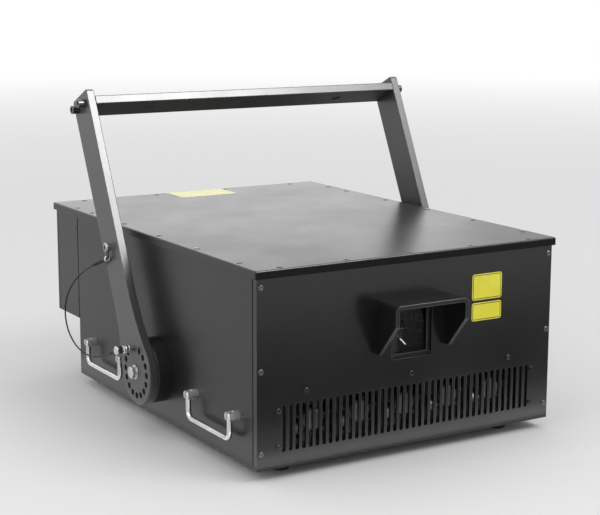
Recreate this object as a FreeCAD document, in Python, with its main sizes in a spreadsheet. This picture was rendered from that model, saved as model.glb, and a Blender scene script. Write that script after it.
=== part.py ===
import FreeCAD, Part
import Sketcher
import math
import os
import re

# Laser show projector: a black sheet metal box that tilts in a flat bar yoke.
# Frame: +Z up, the beam leaves along -Y, the yoke's pivot axis lies along X,
# and the origin is on the floor under the middle of the whole projector.

V = FreeCAD.Vector
doc = FreeCAD.newDocument("laser_projector")

# Driving dimensions in millimetres, degrees for the names that end in angle
sizes = {
    # housing
    "body_width": 393.0,
    "body_height": 216.0,
    "main_depth": 465.0,
    "rear_depth": 69.0,
    "rear_drop": 73.0,
    "wall_sheet": 3.0,
    "wall_flange": 14.0,
    "base_sheet": 4.0,
    "front_sheet": 3.0,
    "front_return": 8.0,
    "rear_sheet": 2.5,
    "housing_seam": 0.9,
    "housing_seam_inset": 4.0,
    "housing_seam_depth": 0.7,
    "lid_sheet": 2.5,
    "lid_skirt": 9.0,
    "lid_clearance": 1.0,
    "lid_bend": 2.0,
    "panel_seam": 0.9,
    "fit_gap": 0.1,
    "overrun": 5.0,
    # feet
    "foot_height": 13.0,
    "foot_radius": 12.0,
    "foot_taper": 1.5,
    "foot_side_inset": 47.5,
    "foot_end_inset": 34.0,
    # screws of the housing
    "screw_radius": 3.4,
    "screw_head": 1.2,
    "lid_screw_inset": 9.0,
    "lid_screw_front_end": 34.0,
    "lid_screw_rear_end": 41.0,
    "lid_screw_side_start": 50.0,
    "lid_screw_side_end": 61.6,
    "lid_screw_last_pitch": 47.0,
    "front_screw_inset": 5.0,
    "front_screw_low": 18.0,
    "front_screw_high": 18.6,
    "rear_screw_inset": 7.5,
    "rear_screw_low": 22.0,
    "rear_screw_high": 26.0,
    # vent slots
    "vent_margin": 28.5,
    "slot_width": 4.9,
    "slot_height": 51.5,
    "vent_level": 42.8,
    "exhaust_margin": 31.5,
    "exhaust_width": 5.0,
    "exhaust_height": 62.0,
    # fans and their tray
    "fan_size": 60.0,
    "fan_gap": 0.4,
    "fan_depth": 20.0,
    "fan_bore_radius": 28.4,
    "fan_corner": 4.0,
    "fan_strut": 4.0,
    "fan_strut_depth": 3.5,
    "rotor_hub_radius": 13.6,
    "rotor_hub_length": 13.0,
    "rotor_hub_bend": 2.0,
    "rotor_axial_gap": 1.2,
    "rotor_shaft_radius": 2.5,
    "shaft_clearance": 0.05,
    "blade_reach": 26.4,
    "blade_root": 12.0,
    "blade_thickness": 1.6,
    "blade_chord": 11.0,
    "tray_rise": 6.0,
    "tray_sheet": 2.0,
    "tray_wall": 3.0,
    "tray_rim_gap": 5.5,
    "tray_rim_top": 10.0,
    "tray_screw_top_pitch": 136.0,
    "tray_screw_row_pitch": 40.0,
    "tray_screw_top_rise": 5.0,
    # aperture and hood
    "aperture_level": 128.0,
    "aperture_width": 54.0,
    "aperture_height": 58.0,
    "bezel_band": 4.8,
    "bezel_lap": 5.0,
    "bezel_sheet": 2.5,
    "bezel_screw_radius": 1.9,
    "bezel_screw_head": 1.6,
    "window_lap": 3.0,
    "window_sheet": 2.0,
    "hood_width": 97.0,
    "hood_depth": 39.0,
    "hood_wall": 4.5,
    "hood_level": 168.5,
    "hood_brow": 23.0,
    "hood_drop": 59.5,
    "hood_heel": 8.0,
    "hood_bend": 7.0,
    "hood_inner_bend": 2.5,
    # yoke
    "pivot_setback": 233.4,
    "pivot_level": 58.9,
    "lean_angle": 25.4,
    "arm_gap": 0.2,
    "arm_thickness": 10.5,
    "arm_width": 44.0,
    "arm_length": 343.0,
    "disc_radius": 38.4,
    "flare_radius": 250.0,
    "index_ring_radius": 28.2,
    "index_hole_radius": 4.0,
    "index_depth": 7.0,
    "index_clearance": 0.15,
    "bar_end_inset": 14.2,
    "bar_thickness": 10.5,
    "clamp_pitch": 136.3,
    "clamp_radius": 6.5,
    "yoke_screw_pitch": 20.5,
    "yoke_screw_radius": 3.0,
    "yoke_screw_length": 22.0,
    "yoke_head_radius": 5.0,
    "yoke_head": 9.0,
    "yoke_socket": 2.5,
    "yoke_socket_depth": 3.0,
    "hub_length": 18.4,
    "hub_bend": 1.0,
    "arm_chamfer": 0.8,
    "arm_corner": 2.5,
    "bolt_radius": 4.0,
    "bolt_clearance": 0.05,
    "bolt_hex_flat": 13.0,
    "bolt_head": 5.5,
    "washer_radius": 8.5,
    "washer_sheet": 1.6,
    # lock pin and tether
    "pin_clearance": 0.05,
    "pin_backset": 0.4,
    "pin_stand": 6.5,
    "collar_radius": 4.7,
    "collar_length": 9.0,
    "neck_radius": 2.6,
    "neck_length": 6.0,
    "pull_radius": 4.9,
    "pull_length": 3.2,
    "eye_clearance": 0.25,
    "eye_wall": 1.7,
    "eye_sheet": 3.0,
    "tether_screw_level": 152.0,
    "tether_screw_radius": 5.6,
    "tether_screw_head": 2.5,
    "tether_shank_radius": 2.5,
    "tether_socket": 2.0,
    "link_stand": 3.4,
    "link_spacer_radius": 4.6,
    "link_width": 6.0,
    "link_sheet": 1.5,
    "link_drop": 11.0,
    "link_hole_radius": 1.6,
    "ring_radius": 2.8,
    "ring_wire": 0.9,
    "sleeve_radius": 2.2,
    "tether_radius": 1.0,
    # side handles
    "post_radius": 5.6,
    "post_length": 14.0,
    "post_bend": 1.0,
    "post_spacing": 96.0,
    "front_post_setback": 40.5,
    "rear_post_setback": 319.0,
    "handle_level": 52.4,
    "handle_axis_reach": 10.4,
    "bail_radius": 3.0,
    "bail_clearance": 0.05,
    "bail_gap": 0.35,
    "bail_pin_radius": 1.4,
    "bail_pin_reach": 5.2,
    "bail_eye_reach": 3.0,
    "bail_eye_bend": 2.0,
    "bail_drop": 26.0,
    "bail_corner": 9.0,
    # inner deck and optics
    "pillar_height": 81.0,
    "pillar_radius": 7.0,
    "pillar_side_inset": 10.0,
    "pillar_end_inset": 22.0,
    "deck_sheet": 8.0,
    "deck_side_gap": 4.0,
    "deck_front_gap": 12.0,
    "deck_rear_gap": 48.0,
    "galvo_setback": 26.0,
    "y_axis_rise": 37.0,
    "x_axis_rise": 20.0,
    "galvo_radius": 7.0,
    "galvo_length": 34.0,
    "galvo_shaft_radius": 1.5,
    "galvo_wall": 5.0,
    "galvo_grip": 22.0,
    "mirror_gap": 2.0,
    "mirror_length": 17.0,
    "mirror_width": 11.0,
    "mirror_angle": 45.0,
    "mirror_sheet": 1.6,
    "mirror_clamp_radius": 2.6,
    "laser_width": 40.0,
    "laser_height": 44.0,
    "laser_length": 120.0,
    "laser_pitch": 46.0,
    "laser_side_gap": 1.5,
    "laser_setback": 44.0,
    "fin_pitch": 8.0,
    "fin_depth": 12.0,
    "fin_groove": 4.0,
    "nozzle_radius": 7.0,
    "nozzle_length": 8.0,
    "combiner_base": 20.0,
    "combiner_sheet": 3.0,
    "combiner_thickness": 6.0,
    # electronics on the base
    "supply_width": 115.0,
    "supply_depth": 215.0,
    "supply_height": 50.0,
    "supply_side_gap": 23.0,
    "supply_setback": 130.0,
    "supply_sheet": 2.0,
    "supply_slot_width": 6.0,
    "supply_slot_pitch": 14.0,
    "supply_slot_margin": 26.0,
    "board_side_gap": 20.5,
    "board_width": 120.0,
    "board_depth": 170.0,
    "board_sheet": 1.6,
    "board_stand": 8.0,
    "board_stand_radius": 3.0,
    "board_stand_inset": 6.0,
    "board_chip": 22.0,
    "board_chip_height": 3.0,
    # rear panel fittings
    "socket_level": 40.0,
    "socket_end_gap": 40.5,
    "socket_plate_width": 26.0,
    "socket_plate_height": 31.0,
    "socket_plate_sheet": 2.0,
    "socket_radius": 11.5,
    "socket_depth": 22.0,
    "socket_well": 9.0,
    "socket_well_depth": 12.0,
    "data_width": 53.0,
    "data_height": 13.0,
    "data_sheet": 1.5,
    "data_nose_width": 39.0,
    "data_nose_height": 8.4,
    "data_nose": 6.0,
    "data_rise": 18.0,
    "switch_width": 22.0,
    "switch_height": 30.0,
    "switch_lip": 2.0,
    "switch_wall": 2.0,
    "switch_depth": 16.0,
    "rocker_gap": 1.3,
    "rocker_rise": 3.0,
    "rocker_pin_radius": 1.5,
    "rocker_pin_reach": 1.4,
    "key_ring_radius": 11.0,
    "key_ring_lip": 3.0,
    "key_barrel_radius": 7.0,
    "key_depth": 16.0,
    "key_slot_width": 2.4,
    "key_slot_height": 9.0,
    "key_slot_depth": 4.0,
}

# Counts
front_slots = 40
exhaust_slots = 30
fan_count = 5
blade_count = 7
index_count = 16

# Shares of a size
shaft_share = 0.9
rocker_tail_share = 0.55
rocker_back_share = 0.8
fitting_shares = {"data": 0.6, "switch": 2.13, "key": 3.27, "inlet": 4.33}

dims = doc.addObject("Spreadsheet::Sheet", "dims")
for row, (name, number) in enumerate(sizes.items(), 1):
    dims.set("A%d" % row, name)
    dims.set("B%d" % row, str(number))
    dims.setAlias("B%d" % row, name)

# Places and fits that follow from the driving dimensions
places_text = {
    "lid_reach": "lid_sheet + lid_clearance",
    "body_half": "body_width / 2",
    "lid_width": "body_width + 2 * lid_reach",
    "lid_depth": "main_depth + rear_depth + 2 * lid_reach",
    "span_y": "hood_depth + main_depth + rear_depth + lid_reach",
    "front_y": "hood_depth - span_y / 2",
    "seam_y": "front_y + main_depth",
    "rear_y": "seam_y + rear_depth",
    "lid_mid_y": "(front_y + rear_y) / 2",
    "base_z": "foot_height",
    "floor_z": "foot_height + base_sheet",
    "top_z": "foot_height + body_height",
    "under_lid_z": "top_z - lid_sheet",
    "wall_height": "under_lid_z - floor_z",
    "side_front_y": "front_y + front_return + panel_seam",
    "side_length": "seam_y - side_front_y",
    "slot_pitch": "(body_width - 2 * vent_margin) / %d" % front_slots,
    "exhaust_pitch": "(body_width - 2 * exhaust_margin) / %d" % exhaust_slots,
    "lid_screw_front_pitch": "(lid_width / 2 - lid_screw_front_end) / 2",
    "lid_screw_rear_pitch": "(lid_width - 2 * lid_screw_rear_end) / 3",
    "lid_screw_side_pitch": "(lid_depth - lid_screw_side_start - lid_screw_side_end - lid_screw_last_pitch) / 4",
    "front_screw_pitch": "(body_height - front_screw_low - front_screw_high) / 2",
    "rear_screw_pitch": "body_height - rear_drop - rear_screw_low - rear_screw_high",
    "fan_z": "foot_height + vent_level",
    "fan_face_y": "front_y + front_sheet + tray_rise + tray_sheet",
    "fan_half": "(fan_size - fan_gap) / 2",
    "tray_half": "2.5 * fan_size + tray_wall",
    "tray_half_height": "fan_size / 2 + tray_wall",
    "tray_rim_half": "body_half - wall_sheet - tray_rim_gap",
    "tray_screw_side": "(tray_half + tray_rim_half) / 2",
    "aperture_z": "foot_height + aperture_level",
    "hood_top_z": "foot_height + hood_level",
    "arm_inner": "body_half + hub_length + arm_gap",
    "arm_outer": "arm_inner + arm_thickness",
    "bar_level": "arm_length - bar_end_inset",
    "pivot_y": "front_y + pivot_setback",
    "pivot_z": "foot_height + pivot_level",
    "index_pitch_angle": "360 / %d" % index_count,
    "pin_radius": "index_hole_radius - pin_clearance",
    "pin_side": "0 - index_ring_radius * sin(index_pitch_angle * 1deg)",
    "pin_rise": "index_ring_radius * cos(index_pitch_angle * 1deg)",
    "lean_sin": "sin(lean_angle * 1deg)",
    "lean_cos": "cos(lean_angle * 1deg)",
    "pin_y": "pivot_y + pin_rise * lean_sin + pin_side * lean_cos",
    "pin_z": "pivot_z + pin_rise * lean_cos - pin_side * lean_sin",
    "eye_radius": "neck_radius + eye_clearance + eye_wall",
    "eye_x": "0 - arm_outer - pin_stand - collar_length - (neck_length + eye_sheet) / 2",
    "hang_y": "pivot_y + tether_screw_level * lean_sin",
    "hang_z": "pivot_z + tether_screw_level * lean_cos",
    "link_x": "0 - arm_outer - link_stand - link_sheet",
    "handle_z": "foot_height + handle_level",
    "handle_x": "body_half + handle_axis_reach",
    "eye_corner_reach": "(bail_eye_reach - bail_eye_bend) * sqrt(2) + bail_eye_bend",
    "deck_z": "floor_z + pillar_height",
    "deck_top_z": "deck_z + deck_sheet",
    "deck_front_y": "front_y + deck_front_gap",
    "deck_half": "body_half - wall_sheet - wall_flange - deck_side_gap",
    "deck_depth": "main_depth - deck_front_gap - deck_rear_gap",
    "laser_first": "deck_half - laser_side_gap - laser_width / 2 - 2 * laser_pitch",
    "supply_x": "supply_side_gap + supply_width / 2 - deck_half",
    "board_x": "deck_half - board_side_gap - board_width / 2",
    "socket_pitch": "(body_half - socket_end_gap) / 4",
    "galvo_y": "front_y + galvo_setback",
    "y_axis_z": "deck_top_z + y_axis_rise",
    "x_axis_z": "deck_top_z + x_axis_rise",
    "galvo_block_half": "galvo_radius + galvo_wall",
    "rear_inner_y": "seam_y - wall_sheet",
    "socket_z": "foot_height + socket_level",
}

sheet_word = re.compile(r"[a-z][a-z_]*")


def bound(text):
    """Spell an expression with the sheets' names in front of its words."""

    def spell(found):
        word = found.group(0)
        if word in sizes:
            return "dims." + word
        if word in places_text:
            return "places." + word
        return word

    return sheet_word.sub(spell, text)


places = doc.addObject("Spreadsheet::Sheet", "places")
for row, (name, text) in enumerate(places_text.items(), 1):
    places.set("A%d" % row, name)
    places.setAlias("B%d" % row, name)
for row, (name, text) in enumerate(places_text.items(), 1):
    places.set("B%d" % row, "=" + bound(text))
doc.recompute()

parts = []


def size(name):
    """Read one value from the sheets, for shapes that are worked out point by point."""
    return float(dims.get(name) if name in sizes else places.get(name))


def bind(thing, **texts):
    """Tie properties to the sheets; a double underscore stands for a dot."""
    for name, text in texts.items():
        thing.setExpression(name.replace("__", "."), bound(text))


def put(thing, x="0", y="0", z="0", turn=None):
    """Place an object; turn is an axis and an angle."""
    if turn:
        thing.Placement = FreeCAD.Placement(V(), FreeCAD.Rotation(turn[0], 1))
        bind(thing, Placement__Rotation__Angle=turn[1])
    bind(thing, Placement__Base__x=x, Placement__Base__y=y, Placement__Base__z=z)


def new_body(label, x="0", y="0", z="0", turn=None):
    body = doc.addObject("PartDesign::Body", label)
    body.Label = label
    put(body, x, y, z, turn)
    parts.append(body)
    return body


def datum(body, role):
    return [item for item in body.Origin.OriginFeatures if item.Role == role][0]


def sketch_on(body, plane, name, offset="0", across="0", up="0"):
    sketch = body.newObject("Sketcher::SketchObject", name)
    sketch.AttachmentSupport = [(datum(body, plane + "_Plane"), "")]
    sketch.MapMode = "FlatFace"
    bind(sketch, AttachmentOffset__Base__x=across, AttachmentOffset__Base__y=up, AttachmentOffset__Base__z=offset)
    return sketch


def fix(sketch, kind, ends, text):
    """Add one dimension to a sketch, measured as it lies and then tied to the sheets."""
    if kind == "Radius":
        now = sketch.Geometry[ends[0]].Radius
    else:
        span = sketch.getPoint(ends[2], ends[3]) - sketch.getPoint(ends[0], ends[1])
        now = span.x if kind == "DistanceX" else span.y
    number = sketch.addConstraint(Sketcher.Constraint(kind, *ends, now))
    sketch.setExpression("Constraints[%d]" % number, bound(text))


def polygon(sketch, corners):
    """Add a closed outline whose corners are measured from the sketch's origin."""
    first = sketch.GeometryCount
    count = len(corners)
    for number in range(count):
        start = 2 * math.pi * number / count
        end = 2 * math.pi * (number + 1) / count
        line = Part.LineSegment(V(math.cos(start), math.sin(start)), V(math.cos(end), math.sin(end)))
        sketch.addGeometry(line, False)
    for number in range(count):
        following = first + (number + 1) % count
        sketch.addConstraint(Sketcher.Constraint("Coincident", first + number, 2, following, 1))
    for number, (across, up) in enumerate(corners):
        fix(sketch, "DistanceX", (-1, 1, first + number, 1), across)
        fix(sketch, "DistanceY", (-1, 1, first + number, 1), up)


def rectangle(sketch, left, low, right, high):
    polygon(sketch, [(left, low), (right, low), (right, high), (left, high)])


def circle(sketch, across, up, radius):
    number = sketch.addGeometry(Part.Circle(V(1, 1), V(0, 0, 1), 1), False)
    fix(sketch, "Radius", (number,), radius)
    fix(sketch, "DistanceX", (-1, 1, number, 3), across)
    fix(sketch, "DistanceY", (-1, 1, number, 3), up)


def upright_slot(sketch, width, height):
    """Add an obround slot with its long side upright, centred on the sketch's origin."""
    half = size(width) / 2
    reach = size(height) / 2 - half
    turn = math.pi
    upper = Part.Circle(V(0, reach), V(0, 0, 1), half)
    lower = Part.Circle(V(0, -reach), V(0, 0, 1), half)
    sketch.addGeometry(Part.ArcOfCircle(upper, 0, turn), False)
    sketch.addGeometry(Part.ArcOfCircle(lower, turn, 2 * turn), False)
    sketch.addGeometry(Part.LineSegment(V(-half, reach), V(-half, -reach)), False)
    sketch.addGeometry(Part.LineSegment(V(half, -reach), V(half, reach)), False)
    for one, two in ((0, 2), (2, 1), (1, 3), (3, 0)):
        sketch.addConstraint(Sketcher.Constraint("Tangent", one, 2, two, 1))
    sketch.addConstraint(Sketcher.Constraint("Vertical", 2))
    fix(sketch, "Radius", (0,), width + " / 2")
    fix(sketch, "DistanceX", (-1, 1, 0, 3), "0")
    fix(sketch, "DistanceY", (-1, 1, 0, 3), "(%s - %s) / 2" % (height, width))
    fix(sketch, "DistanceY", (1, 3, 0, 3), height + " - " + width)


def pad(body, sketch, length, name="pad", both=False, back=False):
    feature = body.newObject("PartDesign::Pad", name)
    feature.Profile = sketch
    feature.SideType = "Symmetric" if both else "One side"
    feature.Reversed = back
    bind(feature, Length=length)
    return feature


def pocket(body, sketch, depth=None, name="pocket", back=False):
    """Cut a sketch through everything, or to a depth against the sketch's normal."""
    feature = body.newObject("PartDesign::Pocket", name)
    feature.Profile = sketch
    feature.Reversed = back
    if depth is None:
        feature.Type = "ThroughAll"
        feature.SideType = "Symmetric"
    else:
        bind(feature, Length=depth)
    return feature


def row_of(body, feature, sketch, pitch, count, name="row"):
    """Repeat a feature along the sketch's horizontal axis."""
    pattern = body.newObject("PartDesign::LinearPattern", name)
    pattern.Originals = [feature]
    pattern.Direction = (sketch, ["H_Axis"])
    pattern.Mode = "Spacing"
    pattern.Occurrences = count
    bind(pattern, Offset=pitch)
    body.Tip = pattern
    return pattern


def ring_of(body, feature, axis, count, name="ring"):
    pattern = body.newObject("PartDesign::PolarPattern", name)
    pattern.Originals = [feature]
    pattern.Axis = (datum(body, axis + "_Axis"), [""])
    pattern.Angle = 360
    pattern.Occurrences = count
    body.Tip = pattern
    return pattern


def round_edges(body, feature, radius, wanted, name="bend"):
    """Fillet the edges of a feature that the test picks."""
    doc.recompute()
    names = ["Edge%d" % number for number, edge in enumerate(feature.Shape.Edges, 1) if wanted(edge)]
    fillet = body.newObject("PartDesign::Fillet", name)
    fillet.Base = (feature, names)
    bind(fillet, Radius=radius)
    return fillet


def break_edges(body, feature, width, wanted, name="chamfer"):
    """Chamfer the edges of a feature that the test picks."""
    doc.recompute()
    names = ["Edge%d" % number for number, edge in enumerate(feature.Shape.Edges, 1) if wanted(edge)]
    chamfer = body.newObject("PartDesign::Chamfer", name)
    chamfer.Base = (feature, names)
    bind(chamfer, Size=width)
    return chamfer


def along(edge, axis):
    """Tell whether a straight edge runs along X, Y or Z."""
    box = edge.BoundBox
    spans = {"X": box.XLength, "Y": box.YLength, "Z": box.ZLength}
    return spans[axis] > 0.99 * edge.Length and len(edge.Vertexes) == 2


def level(number, name):
    return abs(number - size(name)) < 0.01


def cylinder(name, radius, length, x="0", y="0", z="0", turn=None):
    thing = doc.addObject("Part::Cylinder", name)
    bind(thing, Radius=radius, Height=length)
    put(thing, x, y, z, turn)
    return thing


def group(label, things):
    """Hold identical loose pieces in one sub-part."""
    compound = doc.addObject("Part::Compound", label)
    compound.Label = label
    compound.Links = things
    parts.append(compound)
    return compound


face_front = (V(1, 0, 0), "90")
face_left = (V(0, -1, 0), "90")
face_right = (V(0, 1, 0), "90")
lean_back = (V(-1, 0, 0), "lean_angle")

# Base plate: the flat floor of the box, its edge shows under the panels
body = new_body("base_plate", y="front_y", z="base_z")
outline = sketch_on(body, "XY", "base_outline")
rectangle(outline, "0 - body_half", "0", "body_half", "main_depth")
pad(body, outline, "base_sheet")

# Rubber feet: four short tapered cones under the base plate
feet = []
for side in (-1, 1):
    for end, inset in (("front", "foot_end_inset"), ("rear", "main_depth - foot_end_inset")):
        foot = doc.addObject("Part::Cone", "foot_%s_%s" % (end, "left" if side < 0 else "right"))
        bind(foot, Radius1="foot_radius - foot_taper", Radius2="foot_radius", Height="foot_height")
        put(foot, "%d * (body_half - foot_side_inset)" % side, "front_y + " + inset, "0")
        feet.append(foot)
group("rubber_feet", feet)

# Front panel: a folded pan with the vent row and the beam opening
body = new_body("front_panel", y="front_y", z="floor_z")
outline = sketch_on(body, "XZ", "front_outline")
rectangle(outline, "0 - body_half", "0", "body_half", "wall_height")
pad(body, outline, "front_return", back=True)
hollow = sketch_on(body, "XZ", "front_hollow", "0 - front_sheet")
rectangle(hollow, "wall_sheet - body_half", "wall_sheet", "body_half - wall_sheet", "wall_height - wall_sheet")
pocket(body, hollow, "front_return", "front_inside")
opening = sketch_on(body, "XZ", "beam_opening")
rectangle(
    opening,
    "0 - aperture_width / 2",
    "aperture_z - floor_z - aperture_height / 2",
    "aperture_width / 2",
    "aperture_z - floor_z + aperture_height / 2",
)
pocket(body, opening, name="beam_cut")
first_slot = "0 - slot_pitch * %g" % ((front_slots - 1) / 2)
slot = sketch_on(body, "XZ", "vent_slot", "0", first_slot, "fan_z - floor_z")
upright_slot(slot, "slot_width", "slot_height")
slot_cut = pocket(body, slot, name="vent_cut")
row_of(body, slot_cut, slot, "slot_pitch", front_slots, "vent_row")

# Side panels: channels with inward flanges along the top and the foot
for label, side in (("left_side_panel", -1), ("right_side_panel", 1)):
    body = new_body(label, y="side_front_y", z="floor_z")
    channel = sketch_on(body, "XZ", label + "_channel")
    outer = "%d * body_half" % side
    inner = "%d * (body_half - wall_sheet)" % side
    lip = "%d * (body_half - wall_flange)" % side
    polygon(
        channel,
        [
            (outer, "0"),
            (lip, "0"),
            (lip, "wall_sheet"),
            (inner, "wall_sheet"),
            (inner, "wall_height - wall_sheet"),
            (lip, "wall_height - wall_sheet"),
            (lip, "wall_height"),
            (outer, "wall_height"),
        ],
    )
    pad(body, channel, "side_length", back=True)

# Rear panel: closes the main box and carries the sockets, with an air opening above
body = new_body("rear_panel", y="rear_inner_y", z="floor_z")
plate = sketch_on(body, "XZ", "rear_outline")
lip_x = "body_half - wall_sheet - fit_gap"
flange_x = "body_half - wall_flange - fit_gap"
low = "wall_sheet + fit_gap"
polygon(
    plate,
    [
        ("0 - (%s)" % flange_x, "0"),
        (flange_x, "0"),
        (flange_x, low),
        (lip_x, low),
        (lip_x, "wall_height - (%s)" % low),
        (flange_x, "wall_height - (%s)" % low),
        (flange_x, "wall_height"),
        ("0 - (%s)" % flange_x, "wall_height"),
        ("0 - (%s)" % flange_x, "wall_height - (%s)" % low),
        ("0 - (%s)" % lip_x, "wall_height - (%s)" % low),
        ("0 - (%s)" % lip_x, low),
        ("0 - (%s)" % flange_x, low),
    ],
)
pad(body, plate, "wall_sheet", back=True)
air = sketch_on(body, "XZ", "air_opening")
air_half = "exhaust_pitch * %g" % (exhaust_slots / 2)
rectangle(
    air,
    "0 - " + air_half,
    "(rear_drop + body_height - exhaust_height) / 2 - base_sheet",
    air_half,
    "(rear_drop + body_height + exhaust_height) / 2 - base_sheet",
)
pocket(body, air, name="air_cut")
socket_steps = (-4, -3, -2, -1)
for step in socket_steps:
    hole = sketch_on(body, "XZ", "socket_hole_%d" % -step)
    circle(hole, "%d * socket_pitch" % step, "socket_z - floor_z", "socket_radius + fit_gap")
    pocket(body, hole, name="socket_cut_%d" % -step)
data_x, switch_x, key_x, inlet_x = ("socket_pitch * %g" % share for share in fitting_shares.values())
hole = sketch_on(body, "XZ", "switch_hole")
rectangle(
    hole,
    switch_x + " - switch_width / 2 + switch_lip - fit_gap",
    "socket_z - floor_z - switch_height / 2 + switch_lip - fit_gap",
    switch_x + " + switch_width / 2 - switch_lip + fit_gap",
    "socket_z - floor_z + switch_height / 2 - switch_lip + fit_gap",
)
pocket(body, hole, name="switch_cut")
hole = sketch_on(body, "XZ", "key_hole")
circle(hole, key_x, "socket_z - floor_z", "key_ring_radius - key_ring_lip + fit_gap")
pocket(body, hole, name="key_cut")
hole = sketch_on(body, "XZ", "inlet_hole")
circle(hole, inlet_x, "socket_z - floor_z", "socket_radius + fit_gap")
pocket(body, hole, name="inlet_cut")

# Rear housing: a box bolted on behind the rear panel, open towards it, with the air slots
body = new_body("rear_housing", y="seam_y + panel_seam", z="base_z + rear_drop")
outline = sketch_on(body, "XZ", "housing_outline")
rectangle(outline, "0 - body_half", "0", "body_half", "under_lid_z - base_z - rear_drop")
pad(body, outline, "rear_depth - panel_seam", back=True)
hollow = sketch_on(body, "XZ", "housing_hollow", "rear_sheet - rear_depth + panel_seam")
rectangle(
    hollow,
    "rear_sheet - body_half",
    "rear_sheet",
    "body_half - rear_sheet",
    "under_lid_z - base_z - rear_drop + overrun",
)
pocket(body, hollow, "rear_depth", "housing_inside", back=True)
first_slot = "0 - exhaust_pitch * %g" % ((exhaust_slots - 1) / 2)
slot = sketch_on(body, "XZ", "exhaust_slot", "0", first_slot, "(body_height - rear_drop) / 2")
upright_slot(slot, "exhaust_width", "exhaust_height")
slot_cut = pocket(body, slot, name="exhaust_cut")
row_of(body, slot_cut, slot, "exhaust_pitch", exhaust_slots, "exhaust_row")
for side in (-1, 1):
    groove = sketch_on(body, "XY", "housing_groove_%d" % (side + 1))
    groove_floor = "%d * (body_half - housing_seam_depth)" % side
    groove_mouth = "%d * (body_half + overrun)" % side
    groove_back = "rear_depth - panel_seam - housing_seam_inset"
    rectangle(groove, groove_floor, groove_back + " - housing_seam", groove_mouth, groove_back)
    pocket(body, groove, name="groove_cut_%d" % (side + 1))

# Lid: a tray over the whole box with a turned down skirt
body = new_body("lid", y="lid_mid_y", z="top_z")
outline = sketch_on(body, "XY", "lid_outline")
rectangle(outline, "0 - lid_width / 2", "0 - lid_depth / 2", "lid_width / 2", "lid_depth / 2")
shell = pad(body, outline, "lid_skirt", back=True)
hollow = sketch_on(body, "XY", "lid_hollow", "0 - lid_sheet")
rectangle(
    hollow,
    "lid_sheet - lid_width / 2",
    "lid_sheet - lid_depth / 2",
    "lid_width / 2 - lid_sheet",
    "lid_depth / 2 - lid_sheet",
)
inside = pocket(body, hollow, "lid_skirt", "lid_inside")
corners = round_edges(
    body,
    inside,
    "lid_bend",
    lambda edge: along(edge, "Z") and level(2 * abs(edge.CenterOfMass.x), "lid_width"),
    "lid_corner",
)
round_edges(
    body,
    corners,
    "lid_bend",
    lambda edge: abs(edge.BoundBox.ZMin) < 0.01 and abs(edge.BoundBox.ZMax) < 0.01,
    "lid_bend_line",
)

# Screws of the lid, the front panel and the rear housing: low round heads
heads = []
lid_edge = "lid_width / 2 - lid_screw_inset"
lid_front = "front_y - lid_reach + lid_screw_inset"
lid_rear = "rear_y + lid_reach - lid_screw_inset"
spots = [("%d * lid_screw_front_pitch" % step, lid_front) for step in (-2, -1, 0, 1, 2)]
spots += [("%g * lid_screw_rear_pitch" % step, lid_rear) for step in (-1.5, -0.5, 0.5, 1.5)]
for side in (-1, 1):
    run = "front_y - lid_reach + lid_screw_side_start"
    spots += [("%d * (%s)" % (side, lid_edge), run + " + %d * lid_screw_side_pitch" % step) for step in range(5)]
    spots.append(("%d * (%s)" % (side, lid_edge), run + " + 4 * lid_screw_side_pitch + lid_screw_last_pitch"))
for number, (across, back_along) in enumerate(spots):
    heads.append(cylinder("lid_screw_%d" % number, "screw_radius", "screw_head", across, back_along, "top_z"))
for side in (-1, 1):
    for step in range(3):
        heads.append(
            cylinder(
                "front_screw_%d_%d" % (side + 1, step),
                "screw_radius",
                "screw_head",
                "%d * (body_half - front_screw_inset)" % side,
                "front_y",
                "base_z + front_screw_low + %d * front_screw_pitch" % step,
                face_front,
            )
        )
for side, turn in ((-1, face_left), (1, face_right)):
    for step in range(2):
        heads.append(
            cylinder(
                "housing_screw_%d_%d" % (side + 1, step),
                "screw_radius",
                "screw_head",
                "%d * body_half" % side,
                "seam_y + rear_screw_inset",
                "base_z + rear_drop + rear_screw_low + %d * rear_screw_pitch" % step,
                turn,
            )
        )
group("housing_screws", heads)

# Aperture: a framed window behind the beam opening
body = new_body("aperture_bezel", y="front_y + front_sheet", z="aperture_z")
frame_sketch = sketch_on(body, "XZ", "bezel_outline")
for reach in ("bezel_lap", "0 - bezel_band"):
    rectangle(
        frame_sketch,
        "0 - aperture_width / 2 - (%s)" % reach,
        "0 - aperture_height / 2 - (%s)" % reach,
        "aperture_width / 2 + (%s)" % reach,
        "aperture_height / 2 + (%s)" % reach,
    )
pad(body, frame_sketch, "bezel_sheet", back=True)

heads = []
for side in (-1, 1):
    for end in (-1, 1):
        heads.append(
            cylinder(
                "bezel_screw_%d_%d" % (side + 1, end + 1),
                "bezel_screw_radius",
                "bezel_screw_head",
                "%d * (aperture_width - bezel_band) / 2" % side,
                "front_y + front_sheet",
                "aperture_z + %d * (aperture_height - bezel_band) / 2" % end,
                face_front,
            )
        )

body = new_body("aperture_window", y="front_y + front_sheet + bezel_sheet", z="aperture_z")
pane = sketch_on(body, "XZ", "pane")
pane_x = "aperture_width / 2 - bezel_band + window_lap"
pane_z = "aperture_height / 2 - bezel_band + window_lap"
rectangle(pane, "0 - (%s)" % pane_x, "0 - (%s)" % pane_z, pane_x, pane_z)
pad(body, pane, "window_sheet", back=True)

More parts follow.
